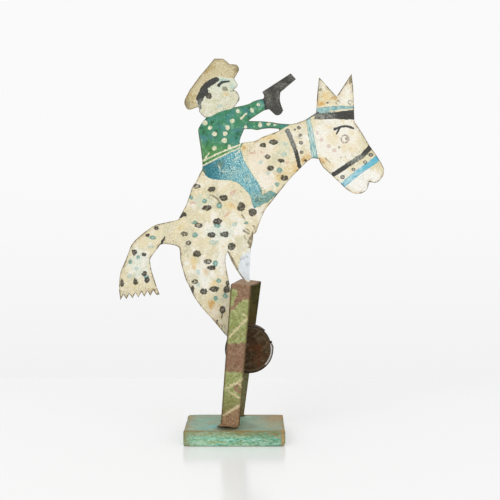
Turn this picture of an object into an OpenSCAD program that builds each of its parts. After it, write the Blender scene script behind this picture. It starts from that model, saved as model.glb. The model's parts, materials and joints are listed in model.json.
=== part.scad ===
// Counterweight balancing toy. A horse and rider cut from one sheet of tin stands on the
// tip of one foot, on a strap bent over a board. A weight on the hind leg hangs below
// that tip between the strap's two posts, so the figure rocks and turns without falling.
// Millimetres. X runs to the right as seen from the front, Y to the back and Z up.
// The origin is the middle of the board's underside.

/* [Board] */
// Width of the board
board_w = 124; // [110:1:160]
// Depth of the board
board_d = 90; // [88:1:120]
// Thickness of the board
board_h = 19; // [14:0.5:28]
// Width of the worn slope along the board's upper edges
board_wear = 1; // [0.5:0.1:2]

/* [Strap] */
// Width of the strap at the bridge
strap_w = 26.4; // [22:0.2:28]
// Width of the strap at the feet
strap_low_w = 24.2; // [20:0.2:28]
// Thickness of the strap
strap_t = 1.2; // [0.8:0.1:1.8]
// How far the strap's bends stand out past the posts' edges
bend_bulge = 0.2; // [0.1:0.05:0.5]
// Distance between the two posts, from middle to middle
post_gap = 48; // [44:1:52]
// Turn of the whole strap, seen from above
strap_turn = 15; // [5:1:18]
// Sideways lean of the front post
front_lean = 4.7; // [2:0.1:6]
// Sideways lean of the rear post
rear_lean = 7.3; // [4:0.1:8]
// Slope of the bridge, up towards the back
bridge_slope = 3; // [0:0.5:5]
// Length of the front foot's nailed part
front_foot = 10; // [8:0.5:14]
// Length of the front foot's curled lip
front_lip = 7; // [4:0.5:9]
// Lift of that lip
lip_lift = 11; // [4:1:15]
// Length of the rear foot
rear_foot = 8; // [6:0.5:9]

/* [Pivot] */
// Place of the pivot to the right of the board's middle
pivot_x = 16.5; // [10:0.5:20]
// Place of the pivot behind the board's middle
pivot_y = 4.5; // [2:0.5:6]
// Height of the pivot above the surface that the board stands on
pivot_z = 196; // [180:1:220]
// Radius of the bead on the foot's tip
bead_r = 2.2; // [1.8:0.1:3]
// Depth that the bead sinks into the cup in the bridge
cup_depth = 1.2; // [0.9:0.1:1.4]
// Running gap around the bead
bead_gap = 0.06; // [0.03:0.01:0.1]
// Place of the cup to the right of the bridge's middle
cup_x = 2; // [0:0.5:4]
// Place of the bead to the right of the foot's middle
bead_x = 1; // [0:0.1:1.5]
// Height of the foot's lowest corners above the bridge
foot_lift = 2; // [1.6:0.1:2.4]
// Width of those corners beside the bead
foot_corner = 0.3; // [0.2:0.1:0.6]

/* [Figure] */
// Thickness of the sheet
sheet_t = 0.4; // [0.3:0.05:0.6]
// Thickness of the foot plate on the foreleg
foot_t = 0.8; // [0.6:0.1:1.2]
// Length of the pistol's barrel along its upper edge
barrel_l = 43; // [30:1:50]
// Upward angle of the barrel
barrel_rise = 33; // [28:1:38]
// Width of the muzzle
muzzle_w = 9.8; // [7:0.2:12]
// Height of the horse's rear ear above the notch
rear_ear = 24; // [15:1:30]
// Height of the horse's front ear above the notch
front_ear = 29; // [20:1:36]
// Number of notches snipped into the tail's end
tail_notches = 6; // [3:1:8]
// Depth of those notches
notch_depth = 6.5; // [3:0.5:8]
// Drop of the bend in the hind leg below the pivot
bend_drop = 8; // [6:1:14]
// Angle by which the hind leg is set back below that bend
set_back = 5.1; // [3:0.1:7]

/* [Weight] */
// Drop of the weight's middle below the pivot
weight_drop = 83.5; // [78:0.5:88]
// Place of the weight's middle to the right of the pivot
weight_x = 1.4; // [0:0.1:4]
// Radius of the slug
slug_r = 26.4; // [24:0.2:28]
// Thickness of the slug
slug_t = 14.5; // [12:0.5:16]
// Width of the worn slope around the slug's face
slug_wear = 1; // [0.4:0.1:2]
// Width of the bare ring between the slug and the lid's wall
ring_gap = 2.4; // [2:0.1:4]
// Thickness of the lid's tin
lid_t = 0.6; // [0.4:0.1:1]
// Height of the lid's wall above the slug's face
lid_lip = 0.8; // [0.4:0.1:2]
// Radius of the roll around the lid's edge
lid_roll = 1; // [0.7:0.1:1.2]
// Angle at which the broken piece of the lid starts
break_start = 15; // [5:1:20]
// Angle at which it ends
break_end = 48; // [40:1:60]

/* [Fasteners] */
// Radius of the rivets through the weight
rivet_r = 1.5; // [1:0.1:2]
// Radius of the rivets' heads
rivet_head_r = 3; // [2.6:0.1:4]
// Height of the rivets' heads
rivet_head_h = 1.2; // [0.8:0.1:2]
// Distance of the inner rivet from the weight's middle
inner_rivet = 8; // [6:0.5:9]
// Distance of the outer rivet from the weight's middle
outer_rivet = 18; // [16:0.5:19]
// Distance between the two nails of a foot
nail_spread = 12.7; // [10:0.1:14]
// Radius of the nails
nail_r = 0.9; // [0.7:0.1:1.2]
// Length of the nails below the strap
nail_l = 11; // [6:0.5:13]
// Length of the nails' points
nail_point = 2; // [1:0.5:4]
// Radius of the nails' heads
nail_head_r = 2.2; // [1.8:0.1:2.8]
// Height of the nails' heads
nail_head_h = 0.8; // [0.5:0.1:1.5]
// Gap around the nails and rivets in their holes
hole_gap = 0.05; // [0.02:0.01:0.1]

/* [Hidden] */

$fn = 64;
// How far a cutting shape runs past what it cuts
past = 1;
// More than the figure's size in any direction
all_over = 400;

wood_colour = "mediumaquamarine";
strap_colour = "darkkhaki";
nail_colour = "dimgray";
paint_colour = "cornsilk";
bare_colour = "lightsteelblue";
solder_colour = "ivory";
tin_colour = "silver";
rust_colour = "saddlebrown";

// Strap: a frame at the pivot, turned with the strap, in which the posts and feet are placed
strap_mid = strap_t / 2;
bridge_tilt = (front_lean + rear_lean) / 2;
// Distance from the bead's middle down to the middle of the bridge's thickness
bead_above = bead_r - cup_depth + strap_mid;
// Middle of the feet's thickness, measured from the pivot's height
foot_level = board_h + strap_mid - pivot_z;
// Middle of the bridge's thickness at a place along it, before its sideways tilt
function bridge_level(along) = along * tan(bridge_slope) - bead_above / cos(bridge_slope);
// Middle of the bridge where it meets a post, -1 at the front and 1 at the rear
function bridge_end(end) =
    let (along = end * post_gap / 2, up = bridge_level(end * post_gap / 2))
    [
        up * sin(bridge_tilt) - cup_x * cos(bridge_tilt),
        along,
        up * cos(bridge_tilt) + cup_x * sin(bridge_tilt)
    ];
function post_lean(end) = end < 0 ? front_lean : rear_lean;
function foot_length(end) = end < 0 ? front_foot : rear_foot;
// Middle of a post's bend at the board
function foot_bend(end) =
    let (top = bridge_end(end))
    [top.x - (top.z - foot_level) * tan(post_lean(end)), top.y, foot_level];
function foot_width(end) = strap_low_w / cos(post_lean(end));
// Place of a nail in its foot, -1 at the left and 1 at the right
function nail_place(end, side) =
    foot_bend(end) + [side * nail_spread / 2, end * foot_length(end) / 2, strap_mid];

// Figure: points are measured from the foot's middle at the bead's height, to the right and up
sheet_front = foot_t / 2;
sheet_middle = sheet_front + sheet_t / 2;
// Lowest corners of the foot plate and lower end of the sheet behind it
foot_low = foot_lift - (bead_r - cup_depth);
sheet_low = bead_r + past;
weight_centre = [bead_x + weight_x, -weight_drop];
// Direction in which the leg's end and its two rivets lie, from the weight's middle
leg_angle = 130;
function turn(angle) = [cos(angle), sin(angle)];
inner_rivet_at = weight_centre + inner_rivet * turn(leg_angle);
outer_rivet_at = weight_centre + outer_rivet * turn(leg_angle);

// Weight
lid_inner_r = slug_r + ring_gap;
lid_r = lid_inner_r + lid_t;
lid_depth = lid_t + slug_t + lid_lip;

// A stretch of outline runs from one corner to the next and leaves out its last point,
// because the next stretch starts there
function straight(p) = [for (i = [0 : len(p) - 2]) p[i]];
curve_steps = 4;
function curve(p) = [
    for (i = [0 : len(p) - 2])
    for (k = [0 : curve_steps - 1])
    let (a = p[max(i - 1, 0)], b = p[i], c = p[i + 1], d = p[min(i + 2, len(p) - 1)])
    let (t = k / curve_steps)
    0.5 * (2 * b + t * (c - a) + t * t * (2 * a - 5 * b + 4 * c - d)
        + t * t * t * (3 * b - a - 3 * c + d))
];

// Corners where two stretches of the outline meet
crown = [-41.5, 282];
brim = [-13.5, 274.5];
brow = [-16.5, 256.5];
mouth = [-17.5, 242.5];
collar = [-16.5, 220.5];
wrist_top = [20.5, 231.5];
wrist_under = [27.5, 218];
armpit = [2, 204];
rein_end = [55, 199];
ear_back = [87, 213.5];
ear_notch = [113, 234];
forelock = [135.5, 204];
horse_mouth = [155, 126];
throat = [81, 155.5];
chest_step = [11.5, 62.5];
crotch = [-25, 37.5];
tail_bay = [-86, 42.5];
tail_inner = [-111, -16.5];
tail_tip = [-160.5, -23.5];
tail_root = [-87.5, 78];
waist = [-57, 141.5];
nape = [-52, 207.5];
hat_under = [-62, 221];

// The outline from the hat's crown, to the right and round
hat_front = concat(
    straight([crown, [-31, 282], [-28.5, 280.5], [-22, 275], brim]),
    curve([brim, [-11, 271], [-10.7, 267], [-13.5, 262], brow]));
rider_face = concat(
    straight([brow, [-15, 254], [-11.8, 249], [-13.5, 245.5], mouth]),
    curve([mouth, [-13.5, 240.5], [-10.3, 235], [-10, 230], [-12, 227], collar]));
gun_sleeve = curve([collar, [-6.5, 222.5], [2.5, 225], [9, 228.5], wrist_top]);
breech = [19, 240];
muzzle_top = breech + barrel_l * turn(barrel_rise);
// Angle between the barrel's upper edge and the muzzle's end
muzzle_cut = 81;
muzzle_end = muzzle_top + muzzle_w * turn(barrel_rise - muzzle_cut);
pistol = concat(
    straight([wrist_top, [21.5, 235], breech, muzzle_top, muzzle_end, [42, 239.5]]),
    curve([[42, 239.5], [41.3, 233], [42, 226.5], [45.5, 216.5]]),
    curve([[45.5, 216.5], [43, 212.5], [39.5, 210.5], [35.5, 211], [30.5, 215.5], wrist_under]));
sleeve_under = curve([wrist_under, [20.5, 216], [11, 210], armpit]);
rein_arm = curve([armpit, [4, 203.2], [12.5, 203], [22.5, 202.5], [31.5, 201.5], [41, 200], rein_end]);
neck_crest = curve([rein_end, [62, 200.5], [69, 203], [75, 205.5], [81, 209.5], ear_back]);
rear_tip = [91.5, ear_notch.y + rear_ear];
front_tip = [132, ear_notch.y + front_ear];
blunt_tip = [0.7, 0.5];
ears = straight([
    ear_back, [87.5, 219], [88.5, 236], rear_tip - blunt_tip, rear_tip, ear_notch, front_tip,
    [134, 246], [135, 222], forelock
]);
horse_face = concat(
    straight([forelock, [136, 202], [142, 193], [148.5, 182.5], [155, 171.5], [163, 160.5], [168.5, 152]]),
    curve([[168.5, 152], [172.5, 144], [173, 138.5], [171.5, 133], [167, 127.5], [162, 125], horse_mouth]));
jaw = concat(
    curve([horse_mouth, [153.5, 122.5], [152.5, 118.5], [149.5, 114.5], [144, 111.5], [137.5, 111],
        [131.5, 113], [124, 118]]),
    straight([[124, 118], [118.5, 123.5], [107.5, 134], [96, 144.5]]),
    straight([[96, 144.5], [92.5, 150], [90.5, 155], [85, 156], throat]));
neck_under = curve([
    throat, [74.5, 150.5], [66, 142], [52.5, 128], [41.5, 114.5], [29, 98.5], [22.5, 90],
    [17, 78], [13, 67], chest_step
]);
foreleg = concat(
    straight([chest_step, [9.5, 60.5], [7.5, 60], [7.5, 57], [6.5, 48.5], [4.5, 42], [3.7, 29]]),
    straight([[3.7, 29], [2.2, sheet_low], [-5.2, sheet_low]]),
    curve([[-5.2, sheet_low], [-10.5, 10], [-16, 18.5], [-20.5, 27], [-23.5, 34.5], crotch]));
// The hind leg ends on the lid's back, around the two rivets
leg_half = 7;
leg_side = leg_half * turn(leg_angle - 90);
leg_end = inner_rivet_at - leg_half * turn(leg_angle);
hind_leg = concat(
    curve([crotch, [-27, 32], [-27.5, 25.5], [-26, 14.5], [-24, 5], [-22, -5.5], [-18.5, -25], [-13.5, -45],
        outer_rivet_at + leg_side]),
    straight([outer_rivet_at + leg_side, inner_rivet_at + leg_side, leg_end, inner_rivet_at - leg_side]),
    straight([inner_rivet_at - leg_side, outer_rivet_at - leg_side]),
    curve([outer_rivet_at - leg_side, [-25.5, -70], [-34.5, -60], [-43, -49.5], [-52.5, -39], [-60, -30],
        [-68, -18], [-74.6, -3.2], [-78, 3], [-82, 17], [-84.5, 27], [-85, 37], tail_bay]));
tail_under = concat(
    curve([tail_bay, [-89.5, 45], [-97.5, 47], [-106.5, 47.5], [-110.5, 46]]),
    curve([[-110.5, 46], [-114.5, 40.3], [-120.5, 32.5], [-123, 27.5], [-122.5, 22], [-120.5, 12],
        [-116, -2], tail_inner]));
// The uncut stretch between the tail's inner corner and its first notch
tail_uncut = [4, 0.5];
first_tooth = tail_inner - tail_uncut;
tooth_step = (tail_tip - first_tooth) / tail_notches;
tail_teeth = concat([tail_inner], [
    for (i = [0 : tail_notches - 1])
    for (half = [0, 1])
    first_tooth + (i + half / 2) * tooth_step + [0, half * notch_depth]
]);
tail_outer = curve([
    tail_tip, [-162, -12], [-162, -2], [-161, 8], [-159, 15.5], [-154, 27], [-149.5, 38.5],
    [-145.5, 48], [-134.5, 59], [-123, 67.5], [-116.5, 71.5], [-104, 74.5], tail_root
]);
rump = curve([
    tail_root, [-80.5, 91], [-76, 100.5], [-72.5, 110.5], [-69.5, 119.5], [-64.5, 127],
    [-60, 136.5], waist
]);
rider_back = curve([
    waist, [-56.5, 146], [-57, 153], [-58.5, 166], [-60.5, 179], [-62, 190], [-61.5, 194],
    [-58, 200], nape
]);
hat_back = concat(
    straight([nape, [-54, 208], [-58, 211], [-61.3, 215.5], [-60.5, 217], hat_under]),
    curve([hat_under, [-69, 218.5], [-72.5, 217.5], [-76, 218.5], [-79, 223.5], [-79.5, 227.5],
        [-78, 232.5], [-72.5, 243]]),
    straight([[-72.5, 243], [-60, 260], [-54, 267], crown]));

figure_outline = concat(
    hat_front, rider_face, gun_sleeve, pistol, sleeve_under, rein_arm, neck_crest, ears, horse_face,
    jaw, neck_under, foreleg, hind_leg, tail_under, tail_teeth, tail_outer, rump, rider_back, hat_back);

// The hole between the rein arm, the rider's chest and the horse's mane
rein_gap = concat(
    curve([[-3.8, 193], [6, 192.7], [12.5, 191.7], [19, 193], [29, 193.9], [39.5, 193.3]]),
    curve([[39.5, 193.3], [40.5, 191], [35, 188.8], [26.5, 185.5], [18.5, 182.5], [12.5, 179],
        [7, 177.3], [-5, 175.8], [-8.6, 174]]),
    curve([[-8.6, 174], [-9.6, 177.4], [-7.2, 185], [-3.8, 193]]));

// The sheet seen from the side, with the bend in the hind leg
bend_place = [sheet_middle, -bend_drop];
bend_half = sheet_t / 2 * [1, tan(set_back / 2)];
leg_line = [sin(set_back), -cos(set_back)];
side_outline = [
    [sheet_front, all_over], bend_place - bend_half, bend_place - bend_half + all_over * leg_line,
    bend_place + bend_half + all_over * leg_line, bend_place + bend_half, [sheet_front + sheet_t, all_over]
];

// The bare foot plate, lapped on the front of the foreleg, with its tip around the bead
foot_half = bead_r + foot_corner;
foot_outline = [
    [bead_x - foot_half, foot_low], [-4.2, 4.5], [-7.5, 8.5], [-11.3, 14.5], [-10.6, 22], [-8.8, 30],
    [-6, 38], [-1, 41.5], [4, 42.5], [4.2, 36], [3.9, 28], [2.9, 12], [bead_x + foot_half, foot_low]
];

// Frames
module at_pivot() translate([pivot_x, pivot_y, pivot_z]) children();
module at_figure() at_pivot() translate([-bead_x, 0, 0]) children();
module in_strap() at_pivot() rotate([0, 0, -strap_turn]) children();
module in_bridge()
    in_strap() rotate([bridge_slope, bridge_tilt, 0]) translate([0, 0, -bead_above]) children();
// A flat shape drawn in the figure's points, from a given front face back
module sheet(front, thickness)
    translate([0, front + thickness, 0]) rotate([90, 0, 0]) linear_extrude(thickness) children();
// A shape drawn as seen from the right side, spread evenly to the left and right
module from_side(width)
    translate([-width / 2, 0, 0]) rotate([90, 0, 90]) linear_extrude(width) children();
// The hind leg below its bend, whose sheet lies around Y = 0
module in_leg()
    at_figure() translate([0, sheet_middle, -bend_drop]) rotate([set_back, 0, 0])
    translate([0, 0, bend_drop]) children();
// An axis through the weight, from the sheet's front face towards the viewer
module on_leg(place)
    in_leg() translate([place.x, -sheet_t / 2, place.y]) rotate([90, 0, 0]) children();

// Pieces that repeat
module nail() {
    cylinder(r = nail_head_r, h = nail_head_h);
    translate([0, 0, -nail_l]) cylinder(r = nail_r, h = nail_l);
    translate([0, 0, -nail_l - nail_point]) cylinder(r1 = 0, r2 = nail_r, h = nail_point);
}
module nail_hole() {
    translate([0, 0, -nail_l]) cylinder(r = nail_r + hole_gap, h = nail_l + past);
    translate([0, 0, -nail_l - nail_point - hole_gap])
        cylinder(r1 = 0, r2 = nail_r + hole_gap, h = nail_point + hole_gap);
}
module foot_nail(end, side) in_strap() translate(nail_place(end, side)) nail();
module all_nail_holes()
    for (end = [-1, 1]) for (side = [-1, 1])
        in_strap() translate(nail_place(end, side)) nail_hole();
module rivet() {
    slope = rivet_head_h / 2;
    front = lid_t + slug_t;
    rotate_extrude() polygon([
        [0, -sheet_t - rivet_head_h], [rivet_head_r - slope, -sheet_t - rivet_head_h],
        [rivet_head_r, -sheet_t - slope], [rivet_head_r, -sheet_t], [rivet_r, -sheet_t],
        [rivet_r, front], [rivet_head_r, front], [rivet_head_r, front + slope],
        [rivet_head_r - slope, front + rivet_head_h], [0, front + rivet_head_h]
    ]);
}
module rivet_holes() {
    length = sheet_t + lid_t + slug_t + 2 * past;
    for (place = [inner_rivet_at, outer_rivet_at])
        on_leg(place) translate([0, 0, -sheet_t - past]) cylinder(r = rivet_r + hole_gap, h = length);
}

// Sub-parts
module base_board() color(wood_colour) difference() {
    intersection() {
        from_side(board_w) worn_section(board_d);
        sheet(-board_d / 2, board_d) worn_section(board_w);
    }
    all_nail_holes();
}
// Upright section of the board, with its two upper corners worn off
module worn_section(width) polygon([
    [-width / 2, 0], [width / 2, 0], [width / 2, board_h - board_wear],
    [width / 2 - board_wear, board_h], [board_wear - width / 2, board_h],
    [-width / 2, board_h - board_wear]
]);

module post_strap() color(strap_colour) difference() {
    union() {
        in_strap() {
            bridge();
            post(-1);
            post(1);
            front_foot_and_lip();
            rear_foot_plate();
        }
        cup_wall();
    }
    at_pivot() sphere(r = bead_r + bead_gap);
    all_nail_holes();
}
// The bridge, out to the far faces of both posts
module bridge() {
    reach = post_gap / 2 + strap_mid;
    half = strap_mid / cos(bridge_slope);
    rotate([0, bridge_tilt, 0]) translate([-cup_x, 0, 0]) from_side(strap_w) polygon([
        [-reach, bridge_level(-reach) - half], [reach, bridge_level(reach) - half],
        [reach, bridge_level(reach) + half], [-reach, bridge_level(-reach) + half]
    ]);
}
// The bulge pressed out of the bridge's underside by the bead's cup
module cup_wall() {
    wall_r = bead_r + bead_gap + strap_t;
    in_bridge() intersection() {
        translate([0, 0, bead_above]) sphere(r = wall_r);
        translate([-wall_r, -wall_r, -2 * wall_r]) cube(2 * wall_r);
    }
}
// A post from the middle of the bridge's thickness down to that of its foot
module post(end) {
    top = [bridge_end(end).x, bridge_end(end).z];
    low = [foot_bend(end).x, foot_level];
    top_half = (strap_w / 2 - bend_bulge) * [cos(bridge_tilt), -sin(bridge_tilt)];
    low_half = [foot_width(end) / 2 - bend_bulge, 0];
    translate([0, bridge_end(end).y, 0]) sheet(-strap_mid, strap_t)
        polygon([top - top_half, top + top_half, low + low_half, low - low_half]);
}
// The front foot, flat on the board from the far face of its post, then curled up into a lip
module front_foot_and_lip() {
    lip_line = [-cos(lip_lift), sin(lip_lift)];
    lip_up = [sin(lip_lift), cos(lip_lift)];
    lip_end = front_lip * lip_line - [front_foot, 0];
    translate(foot_bend(-1) - [0, 0, strap_mid]) from_side(foot_width(-1)) polygon([
        [strap_mid, 0], [strap_mid, strap_t], [strap_t * tan(lip_lift / 2) - front_foot, strap_t],
        lip_end + strap_t * lip_up, lip_end, [-front_foot, 0]
    ]);
}
// The rear foot, flat on the board from the far face of its post
module rear_foot_plate()
    translate(foot_bend(1) - [0, 0, strap_mid]) from_side(foot_width(1)) polygon([
        [-strap_mid, 0], [rear_foot, 0], [rear_foot, strap_t], [-strap_mid, strap_t]
    ]);

module front_foot_nail_left() color(nail_colour) foot_nail(-1, -1);
module front_foot_nail_right() color(nail_colour) foot_nail(-1, 1);
module rear_foot_nail_left() color(nail_colour) foot_nail(1, -1);
module rear_foot_nail_right() color(nail_colour) foot_nail(1, 1);

module horse_and_rider() color(paint_colour) difference() {
    at_figure() intersection() {
        sheet(-all_over / 2, all_over) polygon(figure_outline);
        from_side(2 * all_over) polygon(side_outline);
    }
    at_figure() sheet(sheet_front - past, sheet_t + 2 * past) polygon(rein_gap);
    rivet_holes();
}

module foot_plate() color(bare_colour) difference() {
    at_figure() sheet(-foot_t / 2, foot_t) polygon(foot_outline);
    at_pivot() rotate([90, 0, 0]) cylinder(r = bead_r + bead_gap, h = foot_t + 2 * past, center = true);
}

module pivot_bead() color(solder_colour) at_pivot() sphere(r = bead_r);

module weight_lid() color(tin_colour) difference() {
    on_leg(weight_centre) difference() {
        rotate_extrude() {
            polygon([
                [0, 0], [lid_r, 0], [lid_r, lid_depth], [lid_inner_r, lid_depth],
                [lid_inner_r, lid_t], [0, lid_t]
            ]);
            translate([lid_r, lid_depth]) circle(r = lid_roll);
        }
        translate([0, 0, -past]) linear_extrude(lid_depth + lid_roll + 2 * past) broken_piece();
    }
    rivet_holes();
}
// The piece of the lid that is broken away, down to the middle of the bare ring
module broken_piece() {
    reach = 2 * lid_r;
    difference() {
        polygon([[0, 0], reach * turn(break_start), reach * turn(break_end)]);
        circle(r = slug_r + ring_gap / 2);
    }
}

module weight_slug() color(rust_colour) difference() {
    on_leg(weight_centre) translate([0, 0, lid_t]) {
        cylinder(r = slug_r, h = slug_t - slug_wear);
        translate([0, 0, slug_t - slug_wear])
            cylinder(r1 = slug_r, r2 = slug_r - slug_wear, h = slug_wear);
    }
    rivet_holes();
}

module weight_rivet_inner() color(nail_colour) on_leg(inner_rivet_at) rivet();
module weight_rivet_outer() color(nail_colour) on_leg(outer_rivet_at) rivet();

base_board();
post_strap();
front_foot_nail_left();
front_foot_nail_right();
rear_foot_nail_left();
rear_foot_nail_right();
horse_and_rider();
foot_plate();
pivot_bead();
weight_lid();
weight_slug();
weight_rivet_inner();
weight_rivet_outer();
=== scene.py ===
"""Looks of the counterweight balancing toy: a painted tin horse and rider above its hanging weight.

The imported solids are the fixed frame. The sheet, strap, board, lid and slug are modelled again here
with the paint, bends and wear that the solids leave out. The small pieces keep their solids and get
finishes. Lengths are metres in the frame's axes: X to the right, Y to the back and Z up.
"""

import json
import math

import bmesh
import bpy
import numpy as np
from mathutils import Matrix, Vector, geometry, noise
from mathutils.bvhtree import BVHTree
from mathutils.kdtree import KDTree

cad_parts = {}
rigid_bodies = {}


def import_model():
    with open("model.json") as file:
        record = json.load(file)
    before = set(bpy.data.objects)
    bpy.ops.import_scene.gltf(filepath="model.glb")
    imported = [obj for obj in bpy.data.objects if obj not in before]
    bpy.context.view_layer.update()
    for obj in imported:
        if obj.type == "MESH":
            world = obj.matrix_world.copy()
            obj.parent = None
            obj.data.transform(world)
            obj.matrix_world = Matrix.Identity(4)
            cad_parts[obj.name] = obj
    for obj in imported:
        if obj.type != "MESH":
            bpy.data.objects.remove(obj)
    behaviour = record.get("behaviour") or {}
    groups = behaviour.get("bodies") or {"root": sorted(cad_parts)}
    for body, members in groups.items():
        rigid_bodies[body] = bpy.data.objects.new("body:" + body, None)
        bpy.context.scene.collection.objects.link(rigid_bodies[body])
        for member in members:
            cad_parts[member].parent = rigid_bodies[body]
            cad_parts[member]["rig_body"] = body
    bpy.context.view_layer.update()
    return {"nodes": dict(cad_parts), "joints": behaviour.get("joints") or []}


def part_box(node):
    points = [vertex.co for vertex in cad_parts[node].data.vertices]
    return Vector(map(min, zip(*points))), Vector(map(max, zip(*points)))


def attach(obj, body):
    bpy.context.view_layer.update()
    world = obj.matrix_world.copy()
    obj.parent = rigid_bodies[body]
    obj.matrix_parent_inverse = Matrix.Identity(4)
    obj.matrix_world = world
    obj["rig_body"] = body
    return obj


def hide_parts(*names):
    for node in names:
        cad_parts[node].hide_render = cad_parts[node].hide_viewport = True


bl_info = {
    "name": "Counterweight balancing toy",
    "version": (1, 0, 0),
    "blender": (4, 5, 0),
    "location": "View3D > Sidebar > Balancing toy",
    "description": "Dresses the packed balancing toy in worn paint, rust and bare tin",
    "category": "Object",
}

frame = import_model()
NODES = frame["nodes"]
PIVOT = Vector(frame["joints"][0]["pos_m"])
MM = 0.001
# A face whose normal has less than this along Y looks to the front
FACES_FRONT = -0.9
# Area under which a triangle of the sheet is only a trace along its outline
HAIR_AREA = 1e-4 * MM * MM

# The camera's place, and how the photograph's pixels spread from the one straight ahead of it
CAMERA_PLACE = Vector((0.019, -1.145, 0.284))
FOCAL_PIXELS = 909.0
AHEAD_PIXEL = (250.0, 212.0)
PHOTO_SIDE = 500
# Millimetres that one pixel spans at the sheet
PIXEL_MM = (PIVOT.y - CAMERA_PLACE.y) / FOCAL_PIXELS / MM

# Lines that two painted areas share, as points on the photograph's pixels
BRIM = [
    (198, 107), (196.3, 99.5), (199, 95), (200.5, 89), (205, 84), (210, 80), (214.5, 77.5), (219, 76),
    (225, 77.5), (232, 78.2),
]
NECKLINE = [(205, 117.3), (212, 116), (219, 112), (225, 110), (231, 109), (234.5, 106.8)]
WRIST = [(263, 95), (266, 104), (268.5, 113), (273, 119.5)]

# Painted areas of the sheet, as corners on the photograph's pixels. Where an area ends at the
# sheet's own edge, its corners lie outside the sheet.
AREAS = {
    "hat": [
        [*BRIM, (238, 78.5), (245, 66), (230, 48), (205, 48), (178, 90), (178, 115), (196, 112)],
    ],
    "face": [
        [(194, 112), *BRIM, (246, 78.5), (246, 103), *reversed(NECKLINE), (198, 119)],
    ],
    "shirt": [
        [
            (194, 119), *NECKLINE, (240, 97), *WRIST, (289, 120), (290.5, 124.5), (285, 127.5),
            (279, 131), (262, 131), (247, 133), (241, 148), (226, 154.6), (214, 160.6), (203, 166),
            (190, 169),
        ],
    ],
    "jeans": [
        [
            (198, 167), (204, 165.6), (214, 160.2), (226, 154.2), (240, 147.8), (243.5, 159), (248, 167),
            (253, 175), (258.5, 183), (262.3, 190.5), (261.5, 195), (266.5, 192.5), (271, 190.5),
            (277, 194), (272, 198.5), (268, 202), (263, 204.5), (258, 206.8), (254, 208.5), (252, 204),
            (251, 198), (248, 192.5), (244, 188.5), (240.5, 184.5), (236, 182), (230, 180.3),
            (220, 180.2), (210, 178.8), (205, 175), (203.5, 171.5),
        ],
    ],
    "dark": [
        [*WRIST, (285, 120), (292, 100), (302, 84), (302, 64), (255, 88)],
        [
            (314, 119), (316, 113.5), (330, 112.5), (337, 111.8), (346, 110.6), (358, 109.2),
            (358, 119.6), (345, 119.6), (332, 119), (322, 119.5),
        ],
    ],
    "sky": [
        [
            (312, 113.5), (316.3, 108), (330, 106.4), (340, 105.8), (358, 106.3), (358, 108.4),
            (345, 109), (335, 110), (325, 111.4), (337, 111.6), (330, 112.8), (320, 113.6),
        ],
    ],
}

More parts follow.
